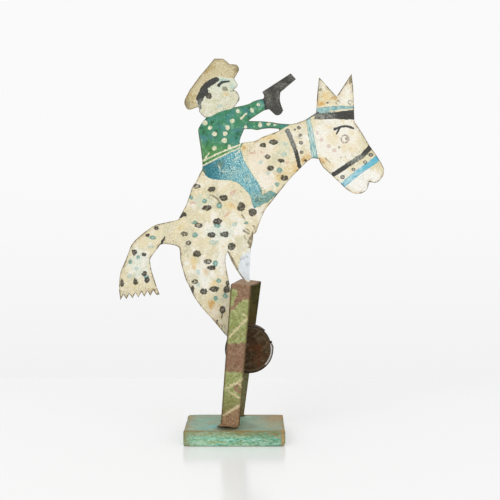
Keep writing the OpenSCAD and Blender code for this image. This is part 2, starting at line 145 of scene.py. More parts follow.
# Round dabs of paint: x, y, width and height in the photograph's pixels
DABS = {
    "spot": [
        (212, 189.3, 7, 5), (223.8, 198, 8.5, 6), (207.2, 208, 9, 5.5), (184, 214.3, 5.5, 4),
        (217.5, 221.3, 8, 6), (211.5, 235, 8.5, 5), (224.5, 234.2, 8.5, 5.5), (197, 253.8, 8, 6.5),
        (231.5, 246.5, 7.5, 7), (211.5, 267.8, 7.5, 4.5), (192.3, 290, 4, 8), (203.5, 291.5, 7, 6),
        (214.5, 289, 9.5, 5), (226.5, 289.5, 6, 7), (227.5, 283, 4, 5), (222.5, 310, 5.5, 7),
        (241.3, 206.8, 8, 9), (252.5, 212.3, 8.4, 7.4), (281.3, 160.7, 6.5, 4), (270.5, 168.2, 7, 4.8),
        (284.3, 178, 7, 6), (263, 145.2, 5.5, 4), (273.5, 142, 8, 5), (134.7, 252.3, 5, 6),
        (122, 283, 4, 7), (135.5, 281.8, 4.5, 7), (144.5, 273.8, 4, 5), (147, 280, 5, 6),
        (156.2, 228.2, 4.5, 3.5), (147.5, 235.3, 4, 3.5), (144, 254.3, 4, 4), (208.6, 95.6, 6.6, 6.4),
    ],
    "worn": [
        (196.5, 186.3, 8, 4.5), (198.5, 225.5, 7.5, 5), (184.5, 234, 7.5, 5), (188.5, 243, 6, 4.5),
        (207.5, 261.5, 8, 5), (194.8, 281.8, 6, 5), (267.3, 156.8, 6, 4.5),
    ],
    "small": [
        (298.8, 127.8, 3.8, 3.6), (300, 135.5, 3.2, 3), (301, 142.8, 4, 3.8), (301.7, 152.3, 3.8, 3.4),
        (370.8, 154.8, 4.6, 4), (365.3, 162.3, 4.2, 3.6), (353.5, 169.3, 3.8, 3.4), (342.7, 177, 4.8, 4),
        (295, 129.5, 2.4, 2.2), (305.5, 160.5, 3, 2.6), (327.5, 102.8, 2, 1.8),
    ],
    "teal": [
        (191.3, 197.5, 4.5, 4.5), (204.3, 201, 5, 4), (219, 205.5, 5.5, 6), (217.5, 225.8, 6, 4),
        (195, 234.8, 6.5, 5), (194.5, 222.3, 5, 3), (152.5, 237.8, 6, 4), (138, 257.3, 4.5, 4),
        (130.5, 262, 3, 4), (146, 277, 5, 5), (215.5, 263.5, 5, 6), (218.8, 281, 4.5, 4.5),
        (215.8, 298.5, 4.5, 4.5), (225.5, 295.8, 5, 5), (279.3, 170.2, 5.5, 5), (277.5, 184, 4.5, 4),
        (246.3, 223, 3.5, 2.5),
    ],
    "pale_teal": [
        (213.5, 242.3, 8.5, 5), (129.5, 276, 5, 5), (198, 272, 5, 5), (198, 285, 4, 4),
        (283.8, 154.5, 5, 5), (285.5, 144, 4, 4), (268.3, 173.5, 4, 3), (261, 162, 4, 4),
        (234.8, 224.5, 5, 5), (151, 247, 5, 3), (136, 268.5, 4, 4), (222, 80.6, 14, 3.6),
        (233, 86.5, 4, 5), (220, 106, 5, 3),
    ],
    "pink": [
        (317.5, 133, 3.6, 4), (321.3, 140, 3.6, 4), (328.8, 146.3, 4, 4), (334.3, 150.5, 4, 4),
        (193, 203, 6, 3), (252.5, 153, 6, 2.4), (287, 162.5, 5, 3), (262, 152, 4, 2.4),
    ],
    "olive": [
        (338.9, 147.3, 2.2, 2.2), (340.5, 157, 2.2, 2.2), (346.5, 138.3, 3.4, 3.2), (230.5, 91.2, 2, 1.6),
        (225, 88.8, 5.4, 5), (233.5, 90.7, 2, 2),
    ],
    "light": [
        (205, 122.8, 5.5, 4.5), (210, 127.8, 4, 4), (214.7, 134, 5, 5), (224.3, 140.5, 5.3, 5.3),
        (214.3, 148.6, 4.2, 4.4), (225, 133.5, 4.5, 4.5), (227.5, 127.5, 4.5, 5), (232.3, 120.8, 4.5, 4),
        (237.8, 111, 3.5, 4.5), (252, 110.3, 3.5, 5), (258.5, 104.5, 3.5, 3), (260.2, 124.8, 4, 5),
        (268.3, 124, 4, 3.5), (245.7, 127, 3, 3), (274.5, 125, 3, 2.4), (229.5, 146, 3, 3),
    ],
    "thin": [(322, 116.5, 20, 7), (201, 105, 7, 8), (290, 139, 16, 26), (357, 159, 24, 9)],
    "scuff": [
        (281.5, 86, 13, 7), (269, 99, 6, 13), (277.8, 97, 3.5, 13), (291.5, 77.5, 6, 5),
        (266, 92.5, 5, 3), (230, 172, 20, 11), (247, 178, 8, 8),
    ],
    "orange": [
        (211.5, 303.5, 8, 12), (213.5, 283.5, 6, 6), (206, 272, 6, 8), (244, 147.5, 8, 6),
        (266, 137.5, 22, 5), (296, 167, 10, 12), (279, 178, 6, 9), (307.5, 157, 7, 8), (321, 103, 8, 5),
        (127, 250, 5, 14), (350, 193, 10, 4), (326, 96, 8, 9), (226, 94, 5, 5), (322, 161, 10, 7),
        (231, 206, 10, 7), (194, 262, 6, 16),
    ],
    "amber": [
        (321, 103.5, 7, 4), (211.5, 304, 5, 9), (334.5, 98, 5, 3), (303.5, 160, 4, 6), (244, 147, 5, 3),
    ],
    "white": [(364, 181, 34, 22), (203, 277, 8, 14), (240, 232, 10, 8)],
    "blush": [
        (257, 164, 20, 36), (264, 152, 18, 12), (268, 180, 14, 14), (258, 150, 12, 10),
        # The last dab lightens the hind leg's end, where the strap's shadow falls: a painted highlight.
        (214, 314, 10, 14),
    ],
}
# How far the dark spots have spread past their dabs, in pixels
SPOT_SPREAD = 0.15

# Dabs that fade out, and the millimetres over which each kind fades
SOFT_DABS = {
    "grime": [
        (320, 88, 9, 14), (251, 240, 8, 12), (168, 240, 16, 10), (228, 258, 10, 18), (252, 236, 8, 16),
        (222, 327, 10, 8), (236.5, 69.5, 7, 9), (187, 104, 9, 11), (148, 290, 30, 8), (335, 98, 8, 6),
        (248, 152, 16, 6), (204, 171, 7, 7), (220, 164, 10, 9), (258, 200, 9, 7), (353, 78, 4, 10),
        (186, 250, 6, 16), (214, 196, 14, 8), (262, 190, 6, 10), (345, 160, 10, 6),
    ],
    "stain": [
        (210, 303, 6, 9), (321, 104, 9, 7), (326, 96, 9, 10), (206, 192, 22, 8), (288, 172, 18, 20),
        (246, 152, 12, 8), (230, 205, 14, 10), (181, 226, 16, 10), (206, 297, 16, 7), (303, 160, 8, 12),
        (127, 250, 7, 16), (208, 67, 16, 20), (236, 70, 8, 10), (190, 96, 12, 12), (350, 193, 12, 4),
        (377, 168, 4, 12), (358, 138, 6, 12), (226, 246, 16, 8), (194, 262, 8, 20), (250, 188, 8, 8),
        (222, 322, 14, 14), (336, 100, 6, 6), (136, 286, 26, 8), (330, 166, 14, 8), (225, 94, 6, 5),
        (268, 134, 16, 5), (226, 107, 10, 6), (213, 109, 10, 6), (236, 97, 5, 6), (346, 147, 14, 9),
        (322, 161, 12, 8), (352, 133, 8, 8), (333, 138, 14, 14), (353, 148, 12, 12), (329, 127, 12, 6),
        (217, 313, 20, 24),
    ],
    "chalk": [
        (140, 264, 20, 26), (220, 230, 34, 20), (224, 262, 12, 24), (208, 274, 12, 30),
        (334, 140, 52, 44), (265, 181, 12, 12), (362, 182, 40, 24), (347, 94, 12, 22), (236, 226, 16, 14),
        (321, 84, 8, 12), (340, 168, 18, 12),
    ],
    "mint": [
        (140, 264, 22, 32), (152, 238, 20, 10), (206, 272, 14, 22), (222, 232, 34, 16),
        (284, 148, 16, 20), (200, 200, 22, 14), (214, 300, 18, 10),
    ],
}
FADES = {"grime": 4, "stain": 5, "chalk": 8, "mint": 6}

# Brush strokes: points on the photograph's pixels, then the widths at their start and end
STROKES = {
    "dark": [
        ([(216.5, 79.5), (211, 82), (206, 86), (203.2, 90), (201.5, 95), (199.8, 98.5)], 5.4, 7.6),
        ([(205.5, 89), (206.5, 94)], 5.4, 4.6),
        ([(199, 100), (200.5, 108)], 4, 2.4),
        ([(218.8, 85.2), (221.5, 82.7), (225, 81.5), (229.5, 81.2)], 3.6, 1.2),
        ([(334.5, 129.3), (341, 126.8), (346, 126), (353.5, 128.2)], 2.4, 2.2),
        ([(339.5, 127.6), (336.3, 134)], 2.4, 1.5),
        ([(333.5, 174.5), (345, 167), (352, 162), (362, 156.5), (371, 146.5)], 4.6, 5.2),
        ([(287.5, 131), (292, 141), (296, 152), (299.5, 167)], 5.0, 3.8),
        ([(307, 118.8), (312, 115.8), (318, 112.8)], 2, 2.6),
        ([(161.5, 243.5), (164.5, 237.5)], 2.6, 2.2),
        ([(222.3, 313), (221.8, 316.5), (221, 319.5)], 1.5, 0.9),
        ([(217.2, 320.5), (216.4, 324)], 1.5, 0.9),
        ([(180, 217), (184, 214.5)], 2.4, 3.4),
        ([(264, 99), (268, 118)], 2.4, 2.4),
    ],
    "band": [
        ([(341.5, 186.2), (355, 174.8), (363, 168.8), (372, 162.7), (379.5, 157)], 5.4, 6.2),
    ],
    "sky": [
        ([(308, 117.5), (310, 129), (312.4, 142), (315, 160)], 4.8, 6.2),
    ],
    "pink": [
        ([(224.5, 216.8), (230, 211.5)], 2.2, 2),
        ([(230.3, 195), (232, 191.5), (236, 190)], 1.6, 1.6),
        ([(230.3, 195), (233.5, 194.2), (236, 190)], 1.4, 1.4),
    ],
    "light": [
        ([(201, 161.6), (213, 156), (224, 151), (240.5, 144.6)], 1.7, 1.5),
        ([(203, 165.4), (214, 160), (226, 154), (240, 147.6)], 1.5, 1.3),
        ([(205.5, 158), (209.5, 152.5)], 1.4, 1),
        ([(241, 118.5), (246, 113.7)], 2, 1.6),
        ([(228, 148.6), (233, 146.8)], 1.5, 1.2),
        ([(243.8, 158.5), (248.3, 166.5), (253.3, 174.5), (258.8, 182.5), (262.4, 190.5)], 0.7, 0.9),
        ([(232, 161), (240.5, 156)], 0.8, 0.7),
        ([(235.5, 154.5), (240, 150.5)], 0.8, 0.6),
        ([(218.5, 165.5), (220.5, 170), (224, 172)], 0.7, 0.6),
    ],
    "olive": [
        ([(243.5, 230.5), (248.5, 233.5)], 2.4, 1.8),
        ([(250.5, 237.5), (248, 242), (251.5, 246)], 2.2, 1.6),
        ([(252.5, 232), (251.5, 240)], 1.6, 1.6),
        ([(246, 228.5), (249.5, 231.5)], 1.4, 1),
        ([(253.5, 226), (255.5, 230)], 1.8, 1.4),
        ([(244, 236), (246, 239.5)], 1.1, 0.8),
        ([(251, 243), (248.5, 250)], 1.8, 1),
        ([(228.5, 252.5), (231.5, 258), (236.2, 266), (243.2, 278.6)], 2, 1.6),
        ([(241.5, 214.5), (245, 219.5)], 1.6, 1.2),
        ([(210, 195.3), (215, 196.8), (218, 199.3), (220, 203)], 1.2, 2.2),
        ([(326, 158.5), (330, 162.5)], 0.9, 0.5),
        ([(322.5, 161.5), (325.5, 165)], 0.9, 0.5),
        ([(351.6, 74), (350.2, 82.5)], 2.6, 2.8),
        ([(353.6, 82), (354.6, 100)], 1.2, 1.0),
        ([(318.5, 79), (317, 100)], 1.0, 1.4),
    ],
}

# Painted rings: x, y, width and height, then the width of the line, in pixels
RINGS = {
    "pink": [(345, 139, 7.6, 7, 1.6)],
    "olive": [
        (338, 102.5, 4, 3.4, 0.8), (350.3, 102.3, 3.6, 4, 0.8), (300, 136, 4.4, 4, 0.8),
        (345, 139, 8, 7.6, 0.8),
    ],
}

# Paint on the strap's front face, on the photograph's pixels
STRAP_GREEN_AREAS = [
    [(226, 290), (236.5, 289), (237.5, 295), (234, 301), (233, 306), (226, 309)],
    [(226, 313), (235, 308.5), (238.5, 303), (244, 300), (254, 299), (252, 343), (222, 343.5)],
    [(220, 371.5), (250, 372.5), (246, 392), (240, 404), (232, 408.5), (218, 416)],
]
STRAP_BROWN = [
    ([(240, 384), (234, 388.5), (242, 393)], 3, 3),
    ([(251, 322), (250, 336)], 3, 2),
]
STRAP_CREAM = [
    ([(228.5, 338), (236, 330), (247.5, 318)], 1.4, 2.4),
    ([(243, 314), (248, 317.5)], 2.2, 2.2),
    ([(225, 389), (232, 384.8), (243, 379.5)], 2, 3),
    ([(226, 390), (234, 394.5), (241, 398.5)], 1.2, 2.4),
    ([(238, 383), (242, 388)], 2, 2),
    ([(223, 415.5), (232, 410), (240, 405.5)], 1.6, 3.6),
]

# Dirt and painted shadow on the board around the strap's front foot, as dabs
BOARD_DIRT_AND_SHADOW = [(246, 426.5, 26, 7), (229, 430, 26, 3.6)]
# Painted shadow under the front foot's lip, as dabs
LIP_SHADOW = [(228, 428.7, 30, 3.6)]


def linear(red, green, blue):
    """A screen colour of 0 to 255 as Blender's linear colour."""
    shares = [channel / 255 for channel in (red, green, blue)]
    return tuple(s / 12.92 if s <= 0.04045 else ((s + 0.055) / 1.055) ** 2.4 for s in shares)


def colour_property(name, description, red, green, blue):
    """A colour that a user may change, given as it shows on a screen."""
    return bpy.props.FloatVectorProperty(
        name=name, description=description, subtype="COLOR", size=3, min=0, max=1,
        default=linear(red, green, blue),
    )


def length_property(name, description, metres):
    """A length that a user may change."""
    return bpy.props.FloatProperty(
        name=name, description=description, default=metres, min=0,
        unit="LENGTH", subtype="DISTANCE", precision=5,
    )


def angle_property(name, description, degrees):
    """An angle that a user may change."""
    return bpy.props.FloatProperty(
        name=name, description=description, default=math.radians(degrees), unit="ROTATION", subtype="ANGLE",
    )


def light_property(name, description, amount, unit="NONE"):
    """A brightness or a lamp's power that a user may change."""
    return bpy.props.FloatProperty(name=name, description=description, default=amount, min=0, unit=unit)


class FigureLook(bpy.types.PropertyGroup):
    """Paint of the horse and rider."""

    grid_step: length_property("Grid step", "Spacing of the sheet's mesh points", 1.0 * MM)
    wave: length_property("Wave", "Depth of the waves left in the hand-cut sheet", 0.9 * MM)
    cream: colour_property("Cream", "Main paint of the horse", 234, 223, 188)
    chalk: colour_property("Chalk", "Paler patches of that paint", 246, 242, 228)
    ochre: colour_property("Ochre", "Stains in that paint", 226, 202, 144)
    face: colour_property("Face", "Paint of the rider's face", 214, 213, 184)
    hat: colour_property("Hat", "Paint of the hat", 208, 196, 158)
    green: colour_property("Green", "Paint of the shirt", 62, 134, 96)
    shirt_teal: colour_property("Shirt teal", "Bluer patches of the shirt", 66, 140, 128)
    blue: colour_property("Blue", "Paint of the trousers", 82, 170, 184)
    sky: colour_property("Sky", "Paler flecks of the trousers", 160, 206, 208)
    black: colour_property("Black", "Spots, bands and pistol", 46, 47, 48)
    teal: colour_property("Teal", "Blue-green dots", 108, 162, 150)
    pink: colour_property("Pink", "Pink marks", 214, 150, 128)
    olive: colour_property("Olive", "Grime and bare edges", 88, 76, 50)


class StrapLook(bpy.types.PropertyGroup):
    """Shape and paint of the bent strap."""

    width_top: length_property("Width at the bridge", "Width of the strap at the bridge", 26.4 * MM)
    width_low: length_property("Width at the feet", "Width of the strap at the feet", 24.2 * MM)
    thickness: length_property("Thickness", "Thickness of the strap", 1.2 * MM)
    post_gap: length_property("Post gap", "Distance between the posts, middle to middle", 48 * MM)
    turn: angle_property("Turn", "Turn of the strap, seen from above", 15)
    front_lean: angle_property("Front lean", "Sideways lean of the front post", 4.7)
    rear_lean: angle_property("Rear lean", "Sideways lean of the rear post", 7.3)
    slope: angle_property("Slope", "Slope of the bridge, up towards the back", 3)
    cup_x: length_property("Cup place", "Place of the cup to the right of the bridge's middle", 2 * MM)
    bead_rise: length_property("Bead rise", "Height of the bead's middle above the bridge", 1.0 * MM)
    front_foot: length_property("Front foot", "Length of the front foot's flat part", 10 * MM)
    front_lip: length_property("Front lip", "Length of the front foot's curled lip", 7 * MM)
    lip_lift: angle_property("Lip lift", "Lift of that lip", 11)
    rear_foot: length_property("Rear foot", "Length of the rear foot", 8 * MM)
    bend_radius: length_property("Bend radius", "Radius of the strap's bends", 2.4 * MM)
    front_tilt: angle_property("Front tilt", "Sideways tilt of the bridge at its front bend", 2)
    lip_wave: length_property("Lip wave", "Height of the waves in the front lip's edge", 0.5 * MM)
    edge_sag: length_property(
        "Edge sag", "Drop of the bridge's right edge, where it was hammered down", 1.6 * MM)
    brown: colour_property("Brown", "Main paint of the strap", 128, 98, 74)
    green: colour_property("Green", "Green patches", 142, 158, 88)
    cream: colour_property("Cream", "Cream strokes", 222, 206, 164)
    # Also the painted shade on the strap's inner side
    grime_and_shade: colour_property("Shade", "Dark olive grime", 58, 48, 22)


class BoardLook(bpy.types.PropertyGroup):
    """Worn paint and wood of the board."""

    corner: length_property("Corner", "Radius of the board's worn edges", 1.1 * MM)
    turquoise: colour_property("Turquoise", "Upper coat of paint", 116, 200, 176)
    grey_green: colour_property("Grey green", "Duller paint of the top", 150, 170, 142)
    wood: colour_property("Wood", "Bare wood", 196, 146, 84)
    dirt: colour_property("Dirt", "Dirt in the grain", 92, 72, 50)


class WeightLook(bpy.types.PropertyGroup):
    """Rust and tin of the hanging weight."""

    # Tin is also the colour of the painted reflection on the lid's cement ring
    tin: colour_property("Tin", "Bare tin of the lid", 226, 224, 218)
    dark_tin: colour_property("Dark tin", "Tarnish on the lid", 50, 43, 32)
    rust: colour_property("Rust", "Dark rust on the slug", 68, 49, 26)
    red_rust: colour_property("Red rust", "Redder rust", 88, 52, 26)
    scale: colour_property("Scale", "Grey scale on the slug", 98, 84, 62)
    break_start: angle_property("Break start", "Angle at which the lid's broken piece starts", 15)
    break_end: angle_property("Break end", "Angle at which it ends", 48)


class MetalLook(bpy.types.PropertyGroup):
    """Bare metal of the foot, bead, nails and rivets."""

    foot: colour_property("Foot", "Bare tin of the foot plate", 230, 236, 240)
    bead: colour_property("Bead", "Solder of the bead", 226, 220, 198)
    steel: colour_property("Steel", "Rivets", 96, 84, 72)
    nail: colour_property("Nail", "Nails, with the strap's paint on them", 132, 102, 80)


class StageLook(bpy.types.PropertyGroup):
    """Floor, lamps and sky."""

    floor_end: length_property("Floor end", "Distance of the floor's far edge behind the object", 407 * MM)
    floor: colour_property("Floor", "Pale floor", 232, 232, 232)
    floor_glow: light_property("Floor glow", "Extra light of the floor, seen straight or in gloss", 0.16)
    low_white: light_property("Low white", "Brightness of the backdrop just above the floor", 0.885)
    high_white: light_property("High white", "Brightness of the backdrop higher up", 0.955)
    key_power: light_property("Key lamp", "Power of the lamp at the front left", 9.5, "POWER")
    fill_power: light_property("Fill lamp", "Power of the lamp at the front right", 5.5, "POWER")
    sky: light_property("Sky", "Strength of the even light from all round", 0.66)


# Calls that build shader nodes

def shader_colour(value):
    """A colour as a node takes it. A tuple is a screen colour of 0 to 255."""
    if isinstance(value, bpy.types.NodeSocket):
        return value
    return (*linear(*value), 1.0) if isinstance(value, tuple) else (*value, 1.0)


class Nodes:
    """Adds nodes to one shader tree. Most calls give back the new node's result."""

    def __init__(self, tree):
        self.tree = tree

    def feed(self, socket, value):
        """Links a socket to another node's result, or gives it a plain value."""
        if isinstance(value, bpy.types.NodeSocket):
            self.tree.links.new(value, socket)
        else:
            socket.default_value = value

    def node(self, kind, inputs=(), **settings):
        """Adds a node, sets it, and feeds its inputs by name or number. Gives its outputs."""
        made = self.tree.nodes.new("ShaderNode" + kind)
        for name, value in settings.items():
            setattr(made, name, value)
        for name, value in dict(inputs).items():
            self.feed(made.inputs[name], value)
        return made.outputs

    def maths(self, operation, *values):
        """Values joined by one kind of sum, from the first to the last."""
        total = values[0]
        for value in values[1:]:
            total = self.node("Math", {0: total, 1: value}, operation=operation)[0]
        return total

    def times(self, *values):
        """Values multiplied."""
        return self.maths("MULTIPLY", *values)

    def plus(self, *values):
        """Values added up."""
        return self.maths("ADD", *values)

    def less(self, first, second):
        """One value taken from another."""
        return self.maths("SUBTRACT", first, second)

    def most(self, *values):
        """The greatest of some values."""
        return self.maths("MAXIMUM", *values)

    def without(self, share, amount=1.0):
        """What a share leaves free."""
        return self.less(1.0, self.times(share, amount))

    def step(self, value, low, high, within=None):
        """0 at low and 1 at high, with a smooth rise between, kept within a share if one is given."""
        inputs = {"Value": value, "From Min": low, "From Max": high}
        risen = self.node("MapRange", inputs, interpolation_type="SMOOTHSTEP")[0]
        return risen if within is None else self.times(within, risen)

    def spread(self, value, low, high):
        """A value of 0 to 1, moved evenly to another range."""
        return self.node("MapRange", {"Value": value, "To Min": low, "To Max": high})[0]

    def blend(self, share, first, second, how="MIX"):
        """Two colours mixed by a share."""
        inputs = {0: share, 6: shader_colour(first), 7: shader_colour(second)}
        return self.node("Mix", inputs, data_type="RGBA", blend_type=how)[2]

    def mix(self, texture, low, high, first, second):
        """Two colours mixed by a texture's rise."""
        return self.blend(self.step(texture, low, high), first, second)

    def shaded(self, colour, texture, low, high):
        """A colour made darker and lighter by a texture."""
        return self.blend(1.0, colour, self.spread(texture, low, high), "MULTIPLY")

    def coats(self, below, *layers):
        """Coats of paint laid one over another.

        Each is a mask, the most that it covers and its colour. In place of the mask, a coat may give
        what step takes: a texture, the two ends of its rise and a share that it keeps within.
        """
        for *mask, cover, colour in layers:
            share = mask[0] if len(mask) == 1 else self.step(*mask)
            below = self.blend(self.times(share, cover), below, colour)
        return below

    def clouds(self, place, scale, detail, rough=0.55):
        """Soft noise spread over 0 to 1, with a scale in patches per millimetre."""
        inputs = {"Vector": place, "Scale": scale, "Detail": detail, "Roughness": rough}
        value = self.node("TexNoise", inputs)["Fac"]
        return self.node("MapRange", {"Value": value, "From Min": 0.3, "From Max": 0.7})[0]

    def millimetres(self, stretch=(1, 1, 1)):
        """The object's own coordinates, in millimetres, stretched along its axes."""
        place = self.node("TexCoord")["Object"]
        scale = tuple(share / MM for share in stretch)
        return self.node("VectorMath", {0: place, 1: scale}, operation="MULTIPLY")[0]

    def leaning(self, place, degrees, stretch):
        """Coordinates turned in the picture's plane and stretched."""
        inputs = {"Vector": place, "Rotation": (0, math.radians(degrees), 0), "Scale": stretch}
        return self.node("Mapping", inputs, vector_type="TEXTURE")[0]

    def layer(self, name):
        """A value that the mesh holds at each point."""
        return self.node("Attribute", attribute_name=name)["Fac"]

    def group(self, name, **inputs):
        """Places a shared group. Gives its outputs."""
        fed = {label.capitalize(): value for label, value in inputs.items()}
        return self.node("Group", fed, node_tree=bpy.data.node_groups[name])

    def ragged(self, place, name, wobble, soft):
        """The mask of one painted layer, with a hand-brushed edge."""
        inside = self.layer(name)
        return self.group("Ragged edge", place=place, distance=inside, wobble=wobble, soft=soft)["Mask"]

    def rust(self, place, amount, look):
        """The rust's colour, mask and height."""
        return self.group("Rust", place=place, amount=amount, dark=(*look.rust, 1), red=(*look.red_rust, 1))


class Finish(Nodes):
    """A new material, with the calls that add nodes to it."""

    def __init__(self, name, metallic=0.0, specular=0.5):
        self.material = bpy.data.materials.new(name)
        self.material.use_nodes = True
        super().__init__(self.material.node_tree)
        self.sockets = self.tree.nodes["Principled BSDF"].inputs
        self.sockets["Metallic"].default_value = metallic
        self.sockets["Specular IOR Level"].default_value = specular

    def show(self, colour, roughness, height, depth, strength):
        """Feeds the shader a colour, a roughness and a relief of a depth in metres. Gives the material."""
        relief = self.node("Bump", {"Height": height, "Distance": depth, "Strength": strength})[0]
        self.feed(self.sockets["Base Color"], colour)
        self.feed(self.sockets["Roughness"], roughness)
        self.feed(self.sockets["Normal"], relief)
        return self.material


def new_group(name, inputs, outputs):
    """An empty node group. Gives the calls that add nodes to it, its given values and its results."""
    tree = bpy.data.node_groups.new(name, "ShaderNodeTree")
    for side, sockets in (("INPUT", inputs), ("OUTPUT", outputs)):
        for label, kind in sockets.items():
            tree.interface.new_socket(label, in_out=side, socket_type="NodeSocket" + kind)
    return Nodes(tree), tree.nodes.new("NodeGroupInput").outputs, tree.nodes.new("NodeGroupOutput").inputs


def ragged_group():
    """A painted area's mask, from the distance inside its edge, with a hand-brushed edge."""
    inputs = {"Place": "Vector", "Distance": "Float", "Wobble": "Float", "Soft": "Float"}
    group, given, out = new_group("Ragged edge", inputs, {"Mask": "Float"})
    broad = group.less(group.clouds(given["Place"], 0.25, 3), 0.5)
    fine = group.less(group.clouds(given["Place"], 0.9, 3), 0.5)
    shift = group.plus(group.times(broad, 1.8), group.times(fine, 1.2))
    moved = group.plus(given["Distance"], group.times(shift, given["Wobble"]))
    group.feed(out["Mask"], group.step(moved, group.times(given["Soft"], -1), given["Soft"]))


def chips_group():
    """Patches where paint has gone, more of them where the amount is higher."""
    inputs = {"Place": "Vector", "Scale": "Float", "Amount": "Float"}
    group, given, out = new_group("Chipped paint", inputs, {"Mask": "Float"})
    texture = group.clouds(given["Place"], given["Scale"], 7, 0.66)
    limit = group.less(1.05, given["Amount"])
    group.feed(out["Mask"], group.step(texture, limit, group.plus(limit, 0.14)))


def rust_group():
    """Rust from dark to red, the share of the surface that it covers, and its height."""
    inputs = {"Place": "Vector", "Amount": "Float", "Dark": "Color", "Red": "Color"}
    group, given, out = new_group("Rust", inputs, {"Color": "Color", "Mask": "Float", "Height": "Float"})
    patches = group.clouds(given["Place"], 0.09, 7, 0.62)
    grit = group.clouds(given["Place"], 0.6, 6, 0.62)
    colour = group.mix(patches, 0.45, 0.75, given["Dark"], given["Red"])
    group.feed(out["Color"], group.shaded(colour, grit, 0.6, 1.4))
    limit = group.less(1.0, given["Amount"])
    mixed = group.plus(group.times(patches, 0.6), group.times(grit, 0.4))
    group.feed(out["Mask"], group.step(mixed, limit, group.plus(limit, 0.2)))
    group.feed(out["Height"], group.plus(group.times(patches, 0.6), grit))


def make_groups():
    """The effects that finishes use more than once."""
    ragged_group()
    chips_group()
    rust_group()


# Distances inside painted marks, in the units of the points that are given

def in_photo(points):
    """The photograph's pixels at which the camera sees points of the object."""
    depth = points[:, 1] - CAMERA_PLACE.y
    right = AHEAD_PIXEL[0] + FOCAL_PIXELS * (points[:, 0] - CAMERA_PLACE.x) / depth
    down = AHEAD_PIXEL[1] - FOCAL_PIXELS * (points[:, 2] - CAMERA_PLACE.z) / depth
    return np.stack([right, down], axis=1)


def from_line(spots, start, end):
    """How far spots lie from a straight line, and how far along it."""
    along = end - start
    share = np.clip((spots - start) @ along / (along @ along), 0, 1)
    gap = spots - start - share[:, None] * along
    return np.hypot(gap[:, 0], gap[:, 1]), share


def in_area(spots, corners):
    """Distance inside an area, below 0 outside it."""
    corners = np.array(corners, float)
    nearest = np.full(len(spots), np.inf)
    odd = np.zeros(len(spots), bool)
    for start, end in zip(corners, np.roll(corners, -1, axis=0)):
        nearest = np.minimum(nearest, from_line(spots, start, end)[0])
        if start[1] != end[1]:
            crosses = (start[1] > spots[:, 1]) != (end[1] > spots[:, 1])
            place = start[0] + (end[0] - start[0]) * (spots[:, 1] - start[1]) / (end[1] - start[1])
            odd ^= crosses & (spots[:, 0] < place)
    return np.where(odd, nearest, -nearest)


# What a spot far from every mark is given, in pixels
FAR_OUTSIDE = -50.0
# How far a layer counts on each side of a mark's edge, in millimetres
LAYER_REACH = 6.0


def in_dabs(spots, dabs):
    """Distance inside the nearest of some round dabs."""
    best = np.full(len(spots), FAR_OUTSIDE)
    for x, y, wide, high in dabs:
        reach = np.hypot((spots[:, 0] - x) / (wide / 2), (spots[:, 1] - y) / (high / 2))
        best = np.maximum(best, (1 - reach) * min(wide, high) / 2)
    return best


def in_strokes(spots, strokes):
    """Distance inside the nearest of some brush strokes."""
    best = np.full(len(spots), FAR_OUTSIDE)
    for path, first, last in strokes:
        points = np.array(path, float)
        count = len(points) - 1
        for i in range(count):
            gap, share = from_line(spots, points[i], points[i + 1])
            half = (first + (last - first) * (i + share) / count) / 2
            best = np.maximum(best, half - gap)
    return best


def in_marks(spots, name):
    """Distance inside the nearest mark of one kind of paint on the sheet."""
    found = [in_dabs(spots, DABS.get(name, [])), in_strokes(spots, STROKES.get(name, []))]
    found += [in_area(spots, corners) for corners in AREAS.get(name, [])]
    found += [line / 2 - np.abs(in_dabs(spots, [ring])) for *ring, line in RINGS.get(name, [])]
    return np.maximum.reduce(found)


def give_layers(mesh, layers):
    """Stores values at a mesh's points, for its finish to read."""
    for name, values in layers.items():
        stored = mesh.attributes.new(name, "FLOAT", "POINT")
        stored.data.foreach_set("value", np.asarray(values, np.float32))


def new_piece(name, points, faces, material, node_name, smooth=None):
    """A mesh that stands for one solid, rides on its body and takes the finish that it is given."""
    mesh = bpy.data.meshes.new(name)
    mesh.from_pydata([tuple(p) for p in points], [], [tuple(f) for f in faces])
    mesh.validate()
    if smooth is not None:
        mesh.polygons.foreach_set("use_smooth", np.ones(len(mesh.polygons), bool))
        mesh.set_sharp_from_angle(angle=smooth)
    mesh.materials.append(material)
    piece = bpy.data.objects.new(name, mesh)
    bpy.context.scene.collection.objects.link(piece)
    body = NODES[node_name]["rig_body"]
    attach(piece, body)
    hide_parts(node_name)
    return piece


def dress(node_name, material):
    """Gives a solid that stays in sight its finish."""
    solid = NODES[node_name]
    solid.data.materials.clear()
    solid.data.materials.append(material)


# The sheet

def front_of_sheet():
    """The sheet solid's front faces, joined: points, triangles and outline edges."""
    solid = bmesh.new()
    solid.from_mesh(NODES["horse_and_rider"].data)
    bmesh.ops.remove_doubles(solid, verts=solid.verts, dist=0.002 * MM)
    solid.normal_update()
    for face in solid.faces:
        face.tag = face.normal.y < FACES_FRONT
    points = [v.co.copy() for v in solid.verts]
    solid.verts.index_update()
    triangles = [[v.index for v in face.verts] for face in solid.faces if face.tag]
    outline = []
    for edge in solid.edges:
        if sum(face.tag for face in edge.link_faces) == 1:
            outline.append((edge.verts[0].index, edge.verts[1].index))
    solid.free()
    return points, triangles, outline


def cut_outline(points, outline, longest):
    """The outline's edges, cut into short steps: places and pairs of place numbers."""
    places = []
    number = {}
    pairs = []
    for a, b in outline:
        for corner in (a, b):
            if corner not in number:
                number[corner] = len(places)
                places.append(points[corner])
        count = max(1, round((points[a] - points[b]).length / longest))
        chain = [number[a]]
        for k in range(1, count):
            chain.append(len(places))
            places.append(points[a].lerp(points[b], k / count))
        chain.append(number[b])
        pairs += list(zip(chain, chain[1:]))
    return places, pairs


def find_near(places):
    """A search for the nearest of some places."""
    tree = KDTree(len(places))
    for i, place in enumerate(places):
        tree.insert(place, i)
    tree.balance()
    return tree


